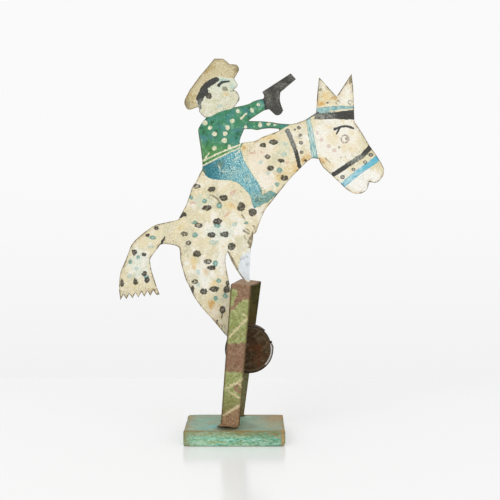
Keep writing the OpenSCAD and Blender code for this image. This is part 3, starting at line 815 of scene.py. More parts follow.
def sheet_mesh(grid_step):
    """A finely cut copy of the sheet's front: points and triangles."""
    points, triangles, outline = front_of_sheet()
    skin = BVHTree.FromPolygons(points, triangles)
    places, pairs = cut_outline(points, outline, grid_step)
    near = find_near(places)
    low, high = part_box("horse_and_rider")
    start_y = low.y - 10 * MM

    def straight_behind(x, z):
        return skin.ray_cast(Vector((x, start_y, z)), Vector((0, 1, 0)))[0]

    # Rows of points, every other one moved by half a step, none close to the outline
    for row in range(int((high.z - low.z) / grid_step) + 1):
        for column in range(int((high.x - low.x) / grid_step) + 1):
            x = low.x + (column + 0.5 * (row % 2)) * grid_step
            hit = straight_behind(x, low.z + row * grid_step)
            if hit is not None and near.find(hit)[2] > 0.55 * grid_step:
                places.append(hit)
    flat = [Vector((p.x / MM, p.z / MM)) for p in places]
    result = geometry.delaunay_2d_cdt(flat, pairs, [], 0, 1e-5)
    made = [Vector((v.x * MM, 0, v.y * MM)) for v in result[0]]
    for i, sources in enumerate(result[3]):
        made[i].y = places[sources[0]].y if sources else skin.find_nearest(made[i])[0].y
    # Triangles within the outline, without the hair-thin ones along its straight edges
    kept = []
    for face in result[2]:
        corners = [made[i] for i in face]
        middle = sum(corners, Vector()) / len(face)
        if geometry.area_tri(*corners) > HAIR_AREA and straight_behind(middle.x, middle.z) is not None:
            kept.append(face)
    return made, kept


def sheet_solid(grid_step, thickness):
    """The fine sheet with its back and cut edges: points, faces, number of front points and rim pairs."""
    made, front = sheet_mesh(grid_step)
    count = len(made)
    points = [tuple(p) for p in made] + [(p.x, p.y + thickness, p.z) for p in made]
    faces = [tuple(face) for face in front]
    pairs = [pair for face in faces for pair in zip(face, face[1:] + face[:1])]
    faces += [tuple(i + count for i in reversed(face)) for face in faces]
    used = set(pairs)
    rim = [(a, b) for a, b in pairs if (b, a) not in used]
    faces += [(b, a, a + count, b + count) for a, b in rim]
    return points, faces, count, rim


def rim_distance(points, rim):
    """Each point's distance from the sheet's cut edge, in millimetres."""
    near = find_near([points[a] for a, _ in rim])
    return np.array([near.find(p)[2] / MM for p in points])


def sheet_layers(points, rim):
    """Each point's place in the photograph, its gap to the rim and how far inside each paint it lies."""
    spots = in_photo(np.array(points))
    layers = {}
    for name in dict.fromkeys([*AREAS, *DABS, *STROKES]):
        inside = in_marks(spots, name) + (SPOT_SPREAD if name == "spot" else 0)
        layers[name] = np.clip(inside * PIXEL_MM, -LAYER_REACH, LAYER_REACH)
    for name, dabs in SOFT_DABS.items():
        layers[name] = np.clip(in_dabs(spots, dabs) * PIXEL_MM / FADES[name], -1, 1)
    layers["rim"] = np.clip(rim_distance(points, rim), 0, 12)
    layers["to_right"] = spots[:, 0]
    layers["down"] = spots[:, 1]
    return layers


class SheetPaint(Finish):
    """Hand-painted, worn tin, with the textures and layers that its colours share."""

    def __init__(self, look):
        super().__init__("Painted tin sheet", specular=0.2)
        self.look = look
        self.place = self.millimetres()
        self.broad = self.clouds(self.place, 0.045, 6, 0.62)
        self.wash = self.clouds(self.place, 0.085, 7, 0.68)
        self.mottle = self.clouds(self.place, 0.14, 7, 0.68)
        self.brush = self.clouds(self.place, 0.38, 6, 0.7)
        self.grain = self.clouds(self.place, 0.8, 4, 0.7)
        self.flecks = self.clouds(self.place, 0.62, 3, 0.6)
        self.streak = self.clouds(self.millimetres((0.5, 1, 0.5)), 0.6, 6, 0.7)
        self.right = self.layer("to_right")
        self.down = self.layer("down")
        self.grime = self.layer("grime")
        self.stain = self.plus(self.times(self.layer("stain"), 0.26), self.mottle)
        self.near_rim = self.step(self.layer("rim"), 6.0, 0.0)
        self.scuff = self.mask("scuff", 1.2, 2.5)

    def mask(self, name, wobble=0.5, soft=0.4):
        """The mask of one kind of paint."""
        return self.ragged(self.place, name, wobble, soft)

    def brushed(self, name, wobble, soft, low, high):
        """The mask of one kind of paint, thinner where the brush ran dry."""
        return self.times(self.mask(name, wobble, soft), self.spread(self.brush, low, high))

    def rubbed(self, name, wobble, soft, middle, rub, amount):
        """The mask of some dark dabs, rubbed thin in their middles."""
        inside = self.step(self.layer(name), *middle)
        return self.times(self.mask(name, wobble, soft), self.without(self.step(*rub, inside), amount))

    def streaks(self, lean):
        """Streaks that lean to the right by an angle in degrees."""
        return self.clouds(self.leaning(self.place, lean, (1, 1, 5)), 0.55, 5, 0.66)

    def horse(self):
        """Cream with chalky, ochre and grey-green patches, smoother on the head."""
        chalky = self.layer("chalk")
        patchy = self.plus(self.times(self.broad, 0.5), self.times(self.mottle, 0.5))
        chalk = self.plus(self.times(chalky, 0.2), patchy)
        greyed = self.plus(self.times(chalky, -0.14), self.wash)
        mint = self.plus(self.times(self.layer("mint"), 0.3), self.wash)
        head = self.step(self.right, 306, 318, self.step(self.down, 118, 124))
        off_head = self.without(head, 0.6)
        return self.coats(
            self.mix(chalk, 0.28, 0.58, self.look.cream, self.look.chalk),
            (greyed, 0.56, 0.84, 0.55, (212, 206, 174)),
            (self.layer("stain"), -0.6, 0.8, head, 0.5, (240, 222, 180)),
            (self.stain, 0.62, 0.95, off_head, 0.85, self.look.ochre),
            (mint, 0.5, 0.85, 0.42, (206, 222, 202)),
            (self.brush, 0.62, 0.9, off_head, 0.5, (208, 190, 146)),
            (self.brush, 0.36, 0.14, 0.7, (249, 246, 236)),
            (self.mask("white", 2.0, 3.0), 0.65, (250, 248, 240)),
            (self.mask("blush", 2.0, 3.0), 0.6, (246, 234, 214)),
            (self.mottle, 0.36, 0.8, self.near_rim, 0.65, (184, 156, 104)),
        )

    def face(self):
        """Greyish skin with brown flecks, greener under the hat."""
        return self.coats(
            self.mix(self.mottle, 0.3, 0.7, self.look.face, (228, 227, 208)),
            (self.stain, 0.62, 1.0, 0.65, (202, 176, 126)),
            (self.down, 97, 85, 0.45, (212, 230, 214)),
            (self.brush, 0.6, 0.86, 0.45, (190, 180, 136)),
            (self.flecks, 0.7, 0.86, 0.65, (170, 156, 108)),
            (self.flecks, 0.36, 0.14, 0.6, (240, 244, 230)),
        )

    def hat(self):
        """Buff with brown brush marks, darker towards its rim, with grime."""
        return self.coats(
            self.mix(self.stain, 0.45, 0.95, self.look.hat, (190, 170, 120)),
            (self.brush, 0.56, 0.84, 0.65, (148, 130, 92)),
            (self.brush, 0.42, 0.2, 0.65, (230, 220, 186)),
            (self.near_rim, 0.4, (140, 120, 80)),
            (self.grime, -0.3, 0.9, 0.6, (134, 122, 86)),
        )

    def shirt(self):
        """Green with bluer, paler and darker patches."""
        return self.coats(
            self.mix(self.broad, 0.35, 0.7, self.look.green, self.look.shirt_teal),
            (self.wash, 0.56, 0.8, 0.7, (74, 130, 142)),
            (self.down, 138, 156, 0.85, (84, 140, 62)),
            (self.mottle, 0.58, 0.95, 0.75, (134, 186, 152)),
            (self.mottle, 0.42, 0.1, 0.85, (24, 86, 58)),
            (self.grain, 0.68, 0.95, 0.45, (176, 204, 178)),
        )

    def jeans(self):
        """Blue, darker at the seat, with pale flecks, streaks down the leg and a grey-green boot."""
        lighter = self.step(self.right, 206, 240)
        pale = self.spread(lighter, 0.05, 1.0)
        speckled = self.times(pale, self.spread(self.step(self.down, 192, 176), 0.3, 1.0))
        lower = self.step(self.down, 176, 190)
        leg = self.step(self.right, 226, 242)
        leg_streak = self.streaks(-29)
        boot = self.step(self.right, 259, 267)
        return self.coats(
            self.blend(lighter, (10, 110, 124), self.look.blue),
            (self.right, 226, 252, 0.4, (172, 212, 210)),
            (self.down, 188, 202, 0.85, (96, 144, 124)),
            (self.brush, 0.46, 0.78, pale, 0.75, self.look.sky),
            (self.brush, 0.36, 0.12, 0.7, (32, 132, 150)),
            (self.mottle, 0.56, 0.85, pale, 0.6, (54, 156, 174)),
            (self.mottle, 0.42, 0.15, pale, 0.5, (176, 210, 200)),
            (self.grain, 0.54, 0.76, speckled, 0.86, (212, 240, 230)),
            (self.streak, 0.56, 0.8, lower, 0.65, (66, 152, 180)),
            (self.mottle, 0.5, 0.2, lower, 0.6, (190, 214, 200)),
            (self.layer("jeans"), 1.3, 0.1, 0.45, (66, 112, 104)),
            (leg_streak, 0.56, 0.8, leg, 0.6, (194, 224, 218)),
            (leg_streak, 0.42, 0.18, leg, 0.6, (40, 140, 166)),
            (self.grime, -0.1, 0.9, 0.5, (104, 132, 98)),
            (self.grain, 0.44, 0.2, 0.85, (10, 100, 116)),
            (self.grain, 0.46, 0.26, self.scuff, 0.9, (24, 56, 62)),
            (self.flecks, 0.56, 0.76, self.scuff, 0.7, (206, 224, 214)),
            (self.times(boot, self.spread(self.brush, 0.5, 1.0)), 0.75, (118, 152, 134)),
        )

    def teal(self):
        """Blue-green dots, paler in the middle and darker at the edge."""
        inside = self.layer("teal")
        middle = self.step(self.brush, 0.3, 0.7, self.step(inside, 0.4, 2.4))
        return self.coats(
            self.blend(middle, self.look.teal, (186, 214, 204)),
            (self.grain, 0.58, 0.85, 0.7, (60, 114, 108)),
            (inside, 0.9, 0.1, 0.45, (64, 116, 106)),
        )

    def pale_straps(self):
        """Pale blue of the bands on the brow and the cheek."""
        brow = self.mix(self.streak, 0.25, 0.75, (112, 172, 178), (176, 208, 202))
        cheek = self.mix(self.streaks(-9), 0.3, 0.85, (118, 174, 176), (212, 230, 220))
        both = self.mix(self.down, 114, 122, brow, cheek)
        return self.coats(both, (self.layer("sky"), 1.5, 0.2, 0.6, (86, 138, 144)))

    def muzzle_band(self):
        """Streaky blue, brighter to the right."""
        return self.coats(
            self.mix(self.streaks(52), 0.2, 0.7, (92, 178, 202), (186, 222, 226)),
            (self.right, 356, 373, 0.75, (68, 180, 206)),
            (self.layer("band"), 1.2, 0.2, 0.4, (80, 150, 176)),
        )

    def black(self, browned):
        """Black brushed on dry, worn thin in places and browner on the large dabs."""
        thin = self.mask("thin", 1.5, 4.0)
        return self.coats(
            self.look.black,
            (self.brush, 0.55, 0.95, 0.5, (112, 114, 114)),
            (self.grain, 0.62, 0.92, 0.4, (140, 141, 138)),
            (self.brush, 0.1, 0.6, thin, 0.85, (128, 134, 130)),
            (self.brush, 0.25, 0.7, self.scuff, 0.62, (138, 138, 130)),
            (self.grain, 0.5, 0.75, thin, 0.75, (190, 186, 170)),
            (browned, 0.5, (70, 64, 46)),
        )

    def paint(self):
        """Lays all the colours over one another. Gives the material."""
        look = self.look
        orange = self.mix(self.mottle, 0.35, 0.8, (238, 204, 130), (216, 160, 72))
        colour = self.coats(
            self.horse(),
            (self.mask("face"), 0.88, self.face()),
            (self.mask("hat", 0.4), 0.95, self.hat()),
            (self.brushed("orange", 1.6, 1.8, 0.35, 0.95), 0.72, orange),
            (self.brushed("amber", 1.4, 1.0, 0.6, 1.0), 0.78, (204, 150, 62)),
            (self.mask("shirt", 0.35), 0.98, self.shirt()),
            (self.mask("jeans", 0.5), 0.97, self.jeans()),
        )
        light = self.mask("light", 0.6, 0.55)
        cream = self.mix(self.brush, 0.35, 0.8, (246, 240, 216), (196, 200, 152))
        mauve = self.mix(self.right, 298, 304, look.pink, (204, 164, 150))
        pale_teal = self.blend(self.brush, (178, 212, 204), (118, 172, 170))
        colour = self.coats(
            colour,
            (light, 0.92, cream),
            (self.brushed("pink", 0.6, 0.8, 0.2, 0.9), 0.85, mauve),
            (self.brushed("pale_teal", 0.9, 0.9, 0.3, 0.95), 0.8, pale_teal),
            (self.mask("teal", 0.9, 0.6), 0.9, self.teal()),
            (self.mask("sky", 0.6, 0.45), 0.95, self.pale_straps()),
            (self.mask("band", 0.35, 0.35), 0.96, self.muzzle_band()),
        )
        spot = self.rubbed("spot", 0.9, 0.5, (0.6, 2.0), (self.brush, 0.45, 0.75), 0.35)
        worn = self.rubbed("worn", 0.8, 0.5, (0.4, 1.6), (self.brush, 0.35, 0.65), 0.65)
        small = self.rubbed("small", 0.35, 0.4, (0.5, 1.4), (self.grain, 0.2, 0.6), 0.6)
        dark = self.most(self.mask("dark", 0.6, 0.4), small, spot, worn)
        # Specks of dirt, and a dark line along the cut edge
        dirt = self.plus(self.times(self.grime, 0.16), self.flecks, self.times(self.wash, 0.24))
        dirt = self.plus(dirt, self.times(self.near_rim, 0.05))
        edge = self.plus(self.layer("rim"), self.times(self.plus(self.mottle, self.brush), -1.1))
        broken = self.spread(self.step(self.wash, 0.3, 0.7), 0.45, 1.0)
        dark_edge_line = self.times(self.step(edge, 0.5, -0.4), self.without(dark, 0.8), broken)
        colour = self.coats(
            colour,
            (dark, 0.96, self.black(self.most(spot, worn))),
            (self.brushed("olive", 0.7, 0.6, 0.5, 1.0), 0.88, look.olive),
            (dirt, 0.84, 1.02, self.without(dark), 0.65, (112, 98, 66)),
            (dark_edge_line, 0.85, look.olive),
        )
        raised = self.plus(self.times(dark, 0.6), self.times(light, 0.6))
        height = self.plus(raised, self.plus(self.times(self.grain, 0.3), self.times(self.mottle, 0.5)))
        shown = self.shaded(colour, self.grain, 0.82, 1.16)
        return self.show(shown, self.spread(self.mottle, 0.5, 0.8), height, 0.15 * MM, 0.7)


def hand_flattened(points, wave):
    """The sheet's points with the gentle waves of hand-cut tin, none near the foot and the weight."""
    still = []
    for name, reach in (("foot_plate", 30 * MM), ("weight_lid", 40 * MM)):
        low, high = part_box(name)
        gap = np.hypot(points[:, 0] - (low.x + high.x) / 2, points[:, 2] - (low.z + high.z) / 2)
        still.append(np.clip((gap - reach) / (50 * MM), 0, 1))
    free = np.minimum(*still)
    waves_per_metre = 16
    moved = points.copy()
    for i, p in enumerate(points):
        place = Vector((p[0] * waves_per_metre, 2.7, p[2] * waves_per_metre))
        moved[i, 1] += wave * free[i] * noise.noise(place)
    return moved


class TOY_OT_figure(bpy.types.Operator):
    """Cuts the horse and rider into a fine sheet and paints both faces"""

    bl_idname = "toy.figure"
    bl_label = "Horse and rider"

    def execute(self, context):
        look = context.scene.toy_figure
        corners = [v.co for v in NODES["horse_and_rider"].data.vertices]
        top = max(corner.z for corner in corners)
        at_top = [corner.y for corner in corners if corner.z > top - 1 * MM]
        points, faces, count, rim = sheet_solid(look.grid_step, max(at_top) - min(at_top))
        layers = sheet_layers(points[:count], rim)
        wavy = hand_flattened(np.array(points), look.wave)
        piece = new_piece("painted_sheet", wavy, faces, SheetPaint(look).paint(), "horse_and_rider")
        give_layers(piece.data, {name: np.tile(values, 2) for name, values in layers.items()})
        return {"FINISHED"}


# Foot, bead, nails and rivets

def solder_finish(look):
    """Dull solder with scratches and tarnish."""
    solder = Finish("Solder", metallic=0.1)
    patches = solder.clouds(solder.millimetres(), 0.12, 6, 0.6)
    lines = solder.clouds(solder.millimetres((2.5, 1, 0.15)), 0.9, 4, 0.6)
    colour = solder.mix(patches, 0.5, 0.9, look.bead, (186, 176, 150))
    shown = solder.shaded(colour, lines, 0.92, 1.06)
    return solder.show(shown, solder.spread(patches, 0.35, 0.65), lines, 0.03 * MM, 0.5)


def rusty_finish(name, steel, amount, weight):
    """Steel that has begun to rust."""
    metal = Finish(name)
    rust = metal.rust(metal.millimetres(), amount, weight)
    colour = metal.blend(rust["Mask"], steel, rust["Color"])
    return metal.show(colour, metal.spread(rust["Mask"], 0.45, 0.85), rust["Height"], 0.08 * MM, 0.6)


def foot_finish(look, cream, chalk):
    """Bare tin of the foot plate, with the horse's paint run over its top."""
    tin = Finish("Bare tin", metallic=0.15)
    place = tin.millimetres()
    patches = tin.clouds(place, 0.12, 6, 0.6)
    brush = tin.clouds(place, 0.38, 6, 0.7)
    lines = tin.clouds(tin.millimetres((2.5, 1, 0.15)), 0.9, 4, 0.6)
    # The plate's top runs up to the right
    rise = 0.55
    top = max(v.co.z - rise * v.co.x for v in NODES["foot_plate"].data.vertices) / MM
    axes = tin.node("SeparateXYZ", {0: place})
    level = tin.less(axes["Z"], tin.times(axes["X"], rise))
    ragged = tin.plus(level, tin.times(tin.plus(patches, brush), 4.0))
    run_over = tin.step(ragged, top - 2.2, top - 0.6)
    colour = tin.coats(
        tin.mix(patches, 0.5, 0.9, look.foot, (196, 200, 198)),
        (run_over, 0.97, tin.mix(brush, 0.3, 0.7, cream, chalk)),
    )
    shown = tin.shaded(colour, lines, 0.92, 1.06)
    return tin.show(shown, tin.spread(patches, 0.4, 0.7), tin.plus(lines, run_over), 0.05 * MM, 0.5)


class TOY_OT_foot(bpy.types.Operator):
    """Finishes the bare foot plate and its bead"""

    bl_idname = "toy.foot"
    bl_label = "Foot and bead"

    def execute(self, context):
        look = context.scene.toy_metal
        figure = context.scene.toy_figure
        dress("foot_plate", foot_finish(look, figure.cream, figure.chalk))
        dress("pivot_bead", solder_finish(look))
        return {"FINISHED"}


class TOY_OT_fasteners(bpy.types.Operator):
    """Finishes the nails and rivets"""

    bl_idname = "toy.fasteners"
    bl_label = "Nails and rivets"

    def execute(self, context):
        weight = context.scene.toy_weight
        look = context.scene.toy_metal
        nail = rusty_finish("Painted nail", look.nail, 0.35, weight)
        rivet = rusty_finish("Rusty steel", look.steel, 0.6, weight)
        for name in NODES:
            if "nail" in name:
                dress(name, nail)
            elif "rivet" in name:
                dress(name, rivet)
        return {"FINISHED"}


# The strap

def strap_corners(look):
    """Left and right ends of the strap's folds, from the front lip to the rear foot."""
    tilt = (look.front_lean + look.rear_lean) / 2
    drop = look.bead_rise + look.thickness / 2
    foot_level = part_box("base_board")[1].z + look.thickness / 2 - PIVOT.z

    def bridge_end(end):
        along = end * look.post_gap / 2
        up = along * math.tan(look.slope) - drop / math.cos(look.slope)
        x = up * math.sin(tilt) - look.cup_x * math.cos(tilt)
        return Vector((x, along, up * math.cos(tilt) + look.cup_x * math.sin(tilt)))

    def foot_bend(end, lean):
        top = bridge_end(end)
        return Vector((top.x - (top.z - foot_level) * math.tan(lean), top.y, foot_level))

    front = foot_bend(-1, look.front_lean)
    rear = foot_bend(1, look.rear_lean)
    front_half = Vector((look.width_low / 2 / math.cos(look.front_lean), 0, 0))
    rear_half = Vector((look.width_low / 2 / math.cos(look.rear_lean), 0, 0))
    top_half = look.width_top / 2 * Vector((math.cos(tilt), 0, -math.sin(tilt)))
    bent_half = look.width_top / 2 * Vector((math.cos(look.front_tilt), 0, -math.sin(look.front_tilt)))
    lip_bend = front - Vector((0, look.front_foot, 0))
    lip = lip_bend + look.front_lip * Vector((0, -math.cos(look.lip_lift), math.sin(look.lip_lift)))
    folds = [
        (lip, front_half), (lip_bend, front_half), (front, front_half), (bridge_end(-1), bent_half),
        (bridge_end(1), top_half), (rear, rear_half), (rear + Vector((0, look.rear_foot, 0)), rear_half),
    ]
    return [(middle - half, middle + half) for middle, half in folds]


# Flat stretches of the strap, counted from the front, and the points in each bend between them
LIP = 0
FRONT_POST = 2
BRIDGE = 3
REAR_POST = 4
BEND_STEPS = 6


def rounded_edge(corners, radius, counts):
    """Points along one edge of the strap with its folds rounded, a count of them on each stretch."""
    points = []
    previous = corners[0]
    for before, here, after, count in zip(corners, corners[1:], corners[2:], counts):
        start, end = (here.lerp(other, min(radius / (here - other).length, 0.4)) for other in (before, after))
        points += [previous.lerp(start, k / count) for k in range(count)]
        shares = [k / BEND_STEPS for k in range(BEND_STEPS)]
        points += [start.lerp(here, share).lerp(here.lerp(end, share), share) for share in shares]
        previous = end
    points += [previous.lerp(corners[-1], k / counts[-1]) for k in range(counts[-1])]
    return [*points, corners[-1]]


def strap_surface(look, columns=41, row_step=1.0 * MM):
    """The strap's middle surface as rows of points, and the fold that each row follows.

    A row on a flat stretch follows a whole number, and a row in a bend lies half-way to the next.
    """
    lefts, rights = zip(*strap_corners(look))
    counts = [max(2, round((a - b).length / row_step)) for a, b in zip(lefts, lefts[1:])]
    edges = [rounded_edge(corners, look.bend_radius, counts) for corners in (lefts, rights)]
    rows = [[left.lerp(right, k / (columns - 1)) for k in range(columns)] for left, right in zip(*edges)]
    follows = []
    for fold, count in enumerate(counts):
        follows += [fold] * count + [fold + 0.5] * BEND_STEPS
    return rows, follows[:len(rows) - 1] + [len(counts) - 1]


def strap_mesh(look):
    """The bent strap with thickness, a pressed cup and worn edges.

    Gives points, faces, the fold that each point follows and its share of the way to an edge.
    """
    rows, follows = strap_surface(look)
    follows = np.array(follows)
    height = len(rows)
    width = len(rows[0])
    grid = np.array([[tuple(p) for p in row] for row in rows])
    normal = np.cross(np.gradient(grid, axis=1), np.gradient(grid, axis=0))
    normal /= np.linalg.norm(normal, axis=2, keepdims=True)
    # The bridge's right edge sags between its bends
    bridge_rows = follows == BRIDGE
    first, last = np.flatnonzero(bridge_rows)[[0, -1]]
    along_bridge = np.clip((np.arange(height) - first) / (last - first), 0, 1)
    to_edge = np.clip((np.linspace(0, 1, width) - 0.72) / 0.28, 0, 1) ** 2
    grid[:, :, 2] -= look.edge_sag * np.sin(np.pi * along_bridge)[:, None] * to_edge[None, :]
    # The lip's edge is a little wavy
    lip_rows = np.clip(1 - np.arange(height) / np.count_nonzero(follows == LIP), 0, 1)
    wave = np.sin(np.linspace(-0.4 * np.pi, 1.5 * np.pi, width))
    grid[:, :, 2] += look.lip_wave * lip_rows[:, None] * wave[None, :]
    # The cup is pressed down around the bead
    bead_low, bead_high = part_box("pivot_bead")
    cup = (bead_high.z - bead_low.z) / 2 + 0.06 * MM
    flat = np.hypot(grid[:, :, 0], grid[:, :, 1])
    pressed = bridge_rows[:, None] & (flat < cup)
    depth = np.where(pressed, look.bead_rise - np.sqrt(np.maximum(cup ** 2 - flat ** 2, 0)), 0)
    grid[:, :, 2] += np.minimum(depth, 0)
    # Thickness falls off at the long edges
    share = np.abs(np.linspace(-1, 1, width))
    half = look.thickness / 2 * np.sqrt(1 - np.clip((share - 0.95) / 0.05, 0, 1) ** 2 * 0.7)
    turn = np.array(Matrix.Rotation(-look.turn, 3, "Z"))
    sides = []
    for sign in (1, -1):
        moved = grid + sign * normal * half[None, :, None]
        sides.append(moved.reshape(-1, 3) @ turn.T + np.array(PIVOT))
    total = height * width
    faces = []
    for i in range(height - 1):
        for a in range(i * width, i * width + width - 1):
            faces.append((a, a + 1, a + width + 1, a + width))
            faces.append((a + total, a + width + total, a + width + 1 + total, a + 1 + total))
    number = np.arange(total).reshape(height, width)
    around = [number[0], number[1:, -1], number[-1, -2::-1], number[-2:0:-1, 0]]
    border = np.concatenate(around).tolist()
    faces += [(b, a, a + total, b + total) for a, b in zip(border, border[1:] + border[:1])]
    return np.concatenate(sides), faces, np.repeat(follows, width), np.tile(share, height)


def strap_layers(points, follows, share):
    """Where the strap's paints, stretches and edges lie, on its outer side and then on its inner side."""
    count = len(points) // 2
    spots = in_photo(points[:count])
    front = np.abs(follows - FRONT_POST) < 0.6
    green = np.maximum.reduce([in_area(spots, area) for area in STRAP_GREEN_AREAS])
    green = np.minimum(green, -in_strokes(spots, STRAP_BROWN))
    cream = np.where(front, in_strokes(spots, STRAP_CREAM), FAR_OUTSIDE)
    nothing = np.full(count, -LAYER_REACH)
    return {
        "front": np.concatenate([front, np.zeros(count)]),
        "green": np.concatenate([np.clip(green * PIXEL_MM, -LAYER_REACH, LAYER_REACH), nothing]),
        "cream": np.concatenate([np.clip(cream * PIXEL_MM, -LAYER_REACH, LAYER_REACH), nothing]),
        "post": np.tile(np.isin(follows, [FRONT_POST, FRONT_POST + 0.5, REAR_POST - 0.5, REAR_POST]), 2),
        "bridge": np.tile(follows == BRIDGE, 2),
        "lip": np.tile(follows == LIP, 2),
        "down": np.tile(spots[:, 1], 2),
        "edge": np.tile(share, 2),
        "inner": np.repeat([0, 1], count),
    }


def strap_finish(look):
    """Old brown and green paint on tin."""
    strap = Finish("Strap paint", specular=0.25)
    place = strap.millimetres()
    patches = strap.clouds(place, 0.05, 5, 0.6)
    mottle = strap.clouds(place, 0.22, 7, 0.7)
    brush = strap.clouds(place, 0.42, 6, 0.7)
    grain = strap.clouds(place, 0.8, 4, 0.7)
    down = strap.layer("down")
    edge = strap.layer("edge")
    low = strap.step(down, 385, 410)
    # Green is drawn on the front, and left to chance on the other posts
    chance = strap.step(patches, 0.45, 0.6)
    elsewhere = strap.times(chance, strap.layer("post"))
    is_green = strap.spread(strap.layer("front"), elsewhere, strap.ragged(place, "green", 1.4, 0.9))
    green = strap.coats(
        strap.mix(mottle, 0.25, 0.8, look.green, (192, 200, 140)),
        (low, 0.6, (116, 110, 58)),
        (patches, 0.55, 0.9, 0.5, (114, 114, 56)),
        (mottle, 0.34, 0.1, 0.5, (188, 178, 104)),
        (brush, 0.62, 0.88, 0.75, (126, 96, 62)),
        (brush, 0.4, 0.14, 0.55, (206, 214, 164)),
        (grain, 0.52, 0.86, 0.75, (92, 100, 50)),
    )
    broken = strap.spread(strap.step(brush, 0.75, 0.4), 0.5, 1.0)
    cream = strap.times(strap.ragged(place, "cream", 1.0, 0.8), broken)
    faded = strap.coats(
        strap.mix(brush, 0.4, 0.75, (134, 142, 96), (122, 104, 76)),
        (down, 398, 412, 0.7, (118, 92, 66)),
    )
    # The inner side: dark olive and brown, lighter towards the feet. Its darkness is partly grime and partly
    # painted shade under the bridge.
    inner = strap.coats(
        strap.blend(chance, look.grime_and_shade, (82, 68, 30)),
        (mottle, 0.6, 0.9, 0.5, (112, 88, 52)),
        (brush, 0.25, 0.65, strap.step(down, 308, 294), 0.75, (88, 98, 44)),
        (down, 350, 385, 0.78, faded),
    )
    colour = strap.coats(
        strap.mix(mottle, 0.2, 0.8, look.brown, (162, 132, 106)),
        (patches, 0.5, 0.9, 0.45, (142, 94, 80)),
        (brush, 0.58, 0.84, 0.45, (122, 104, 58)),
        (brush, 0.42, 0.16, 0.45, (172, 128, 112)),
        (brush, 0.38, 0.75, low, 0.75, (190, 160, 112)),
        (is_green, strap.spread(grain, 1.0, 0.75), green),
        (cream, 0.95, look.cream),
        (strap.layer("bridge"), 0.4, (184, 160, 134)),
        (strap.layer("lip"), 0.75, (96, 62, 46)),
        (strap.plus(edge, strap.times(mottle, 0.22)), 0.86, 1.06, 0.65, (112, 86, 58)),
        (mottle, 0.1, 0.6, strap.step(edge, 0.84, 1.0), 0.8, look.grime_and_shade),
        (grain, 0.72, 0.95, 0.55, look.grime_and_shade),
        # The inner side, darkened with painted shade
        (strap.layer("inner"), 0.92, inner),
    )
    shown = strap.shaded(colour, grain, 0.72, 1.28)
    height = strap.plus(mottle, strap.times(grain, 0.7))
    return strap.show(shown, strap.spread(mottle, 0.6, 0.9), height, 0.2 * MM, 0.6)


class TOY_OT_strap(bpy.types.Operator):
    """Bends the painted strap over the board"""

    bl_idname = "toy.strap"
    bl_label = "Strap"

    def execute(self, context):
        look = context.scene.toy_strap
        points, faces, follows, share = strap_mesh(look)
        box = np.array([points.min(axis=0), points.max(axis=0)])
        if np.abs(box - np.array(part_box("post_strap"))).max() > 1.5 * MM:
            raise RuntimeError("The bent strap doesn't fit its solid")
        piece = new_piece("bent_strap", points, faces, strap_finish(look), "post_strap", smooth=0.6)
        give_layers(piece.data, strap_layers(points, follows, share))
        return {"FINISHED"}


# The board

def board_grid(low, high, step_size):
    """A closed box of small squares."""
    box = bmesh.new()
    counts = [max(2, round((high[k] - low[k]) / step_size)) for k in range(3)]
    for axis in range(3):
        u, v = (axis + 1) % 3, (axis + 2) % 3
        for side in (0, 1):
            rows = []
            for i in range(counts[u] + 1):
                row = []
                for j in range(counts[v] + 1):
                    place = [0.0, 0.0, 0.0]
                    place[axis] = (low, high)[side][axis]
                    place[u] = low[u] + (high[u] - low[u]) * i / counts[u]
                    place[v] = low[v] + (high[v] - low[v]) * j / counts[v]
                    row.append(box.verts.new(place))
                rows.append(row)
            for i in range(counts[u]):
                for j in range(counts[v]):
                    corners = [rows[i][j], rows[i + 1][j], rows[i + 1][j + 1], rows[i][j + 1]]
                    box.faces.new(corners if side else corners[::-1])
    bmesh.ops.remove_doubles(box, verts=box.verts, dist=0.01 * MM)
    box.verts.index_update()
    points = [v.co.copy() for v in box.verts]
    faces = [[v.index for v in face.verts] for face in box.faces]
    box.free()
    return points, faces


def worn_place(place, low, high, corner):
    """A point of the board, drawn in where the edges have worn round, most at its ends."""
    end_gap = min(place.x - low.x, high.x - place.x) / MM
    end_reach = 9
    ends = 1 + 2.2 * max(0.0, 1 - end_gap / end_reach)
    dents = max(0.0, 0.5 + noise.noise(place * 70))
    nicks = noise.noise(place * 260)
    wear = max(corner * ends * (0.55 + 1.2 * dents + 0.5 * nicks), 0.3 * MM)
    core = Vector(min(max(place[k], low[k] + wear), high[k] - wear) for k in range(3))
    away = place - core
    if away.length > wear:
        return core + away.normalized() * wear
    return place


def board_layers(points, worn, low, high):
    """Where each point of the board lies, how much dirt and painted shadow it holds around the strap's foot,
    and the painted shadow under its lip.
    """
    spots = in_photo(np.array(worn))
    gaps = [sorted(min(p[k] - low[k], high[k] - p[k]) for k in range(3)) for p in points]
    seen = [p.z > high.z - 6 * MM and p.y < high.y - 1 * MM for p in points]
    return {
        "edge": np.clip([gap[1] / MM for gap in gaps], 0, 30),
        "to_right": [p.x / MM for p in worn],
        "to_back": [p.y / MM for p in worn],
        "top": [p.z > high.z - 0.1 * MM for p in points],
        "end": [min(p.x - low.x, high.x - p.x) < 0.1 * MM for p in points],
        "soil_and_shadow": np.where(seen, np.clip(in_dabs(spots, BOARD_DIRT_AND_SHADOW) / 3, -1, 1), -1),
        "shadow_under_lip": np.where(seen, np.clip(in_dabs(spots, LIP_SHADOW) / 1.5, -1, 1), -1),
    }


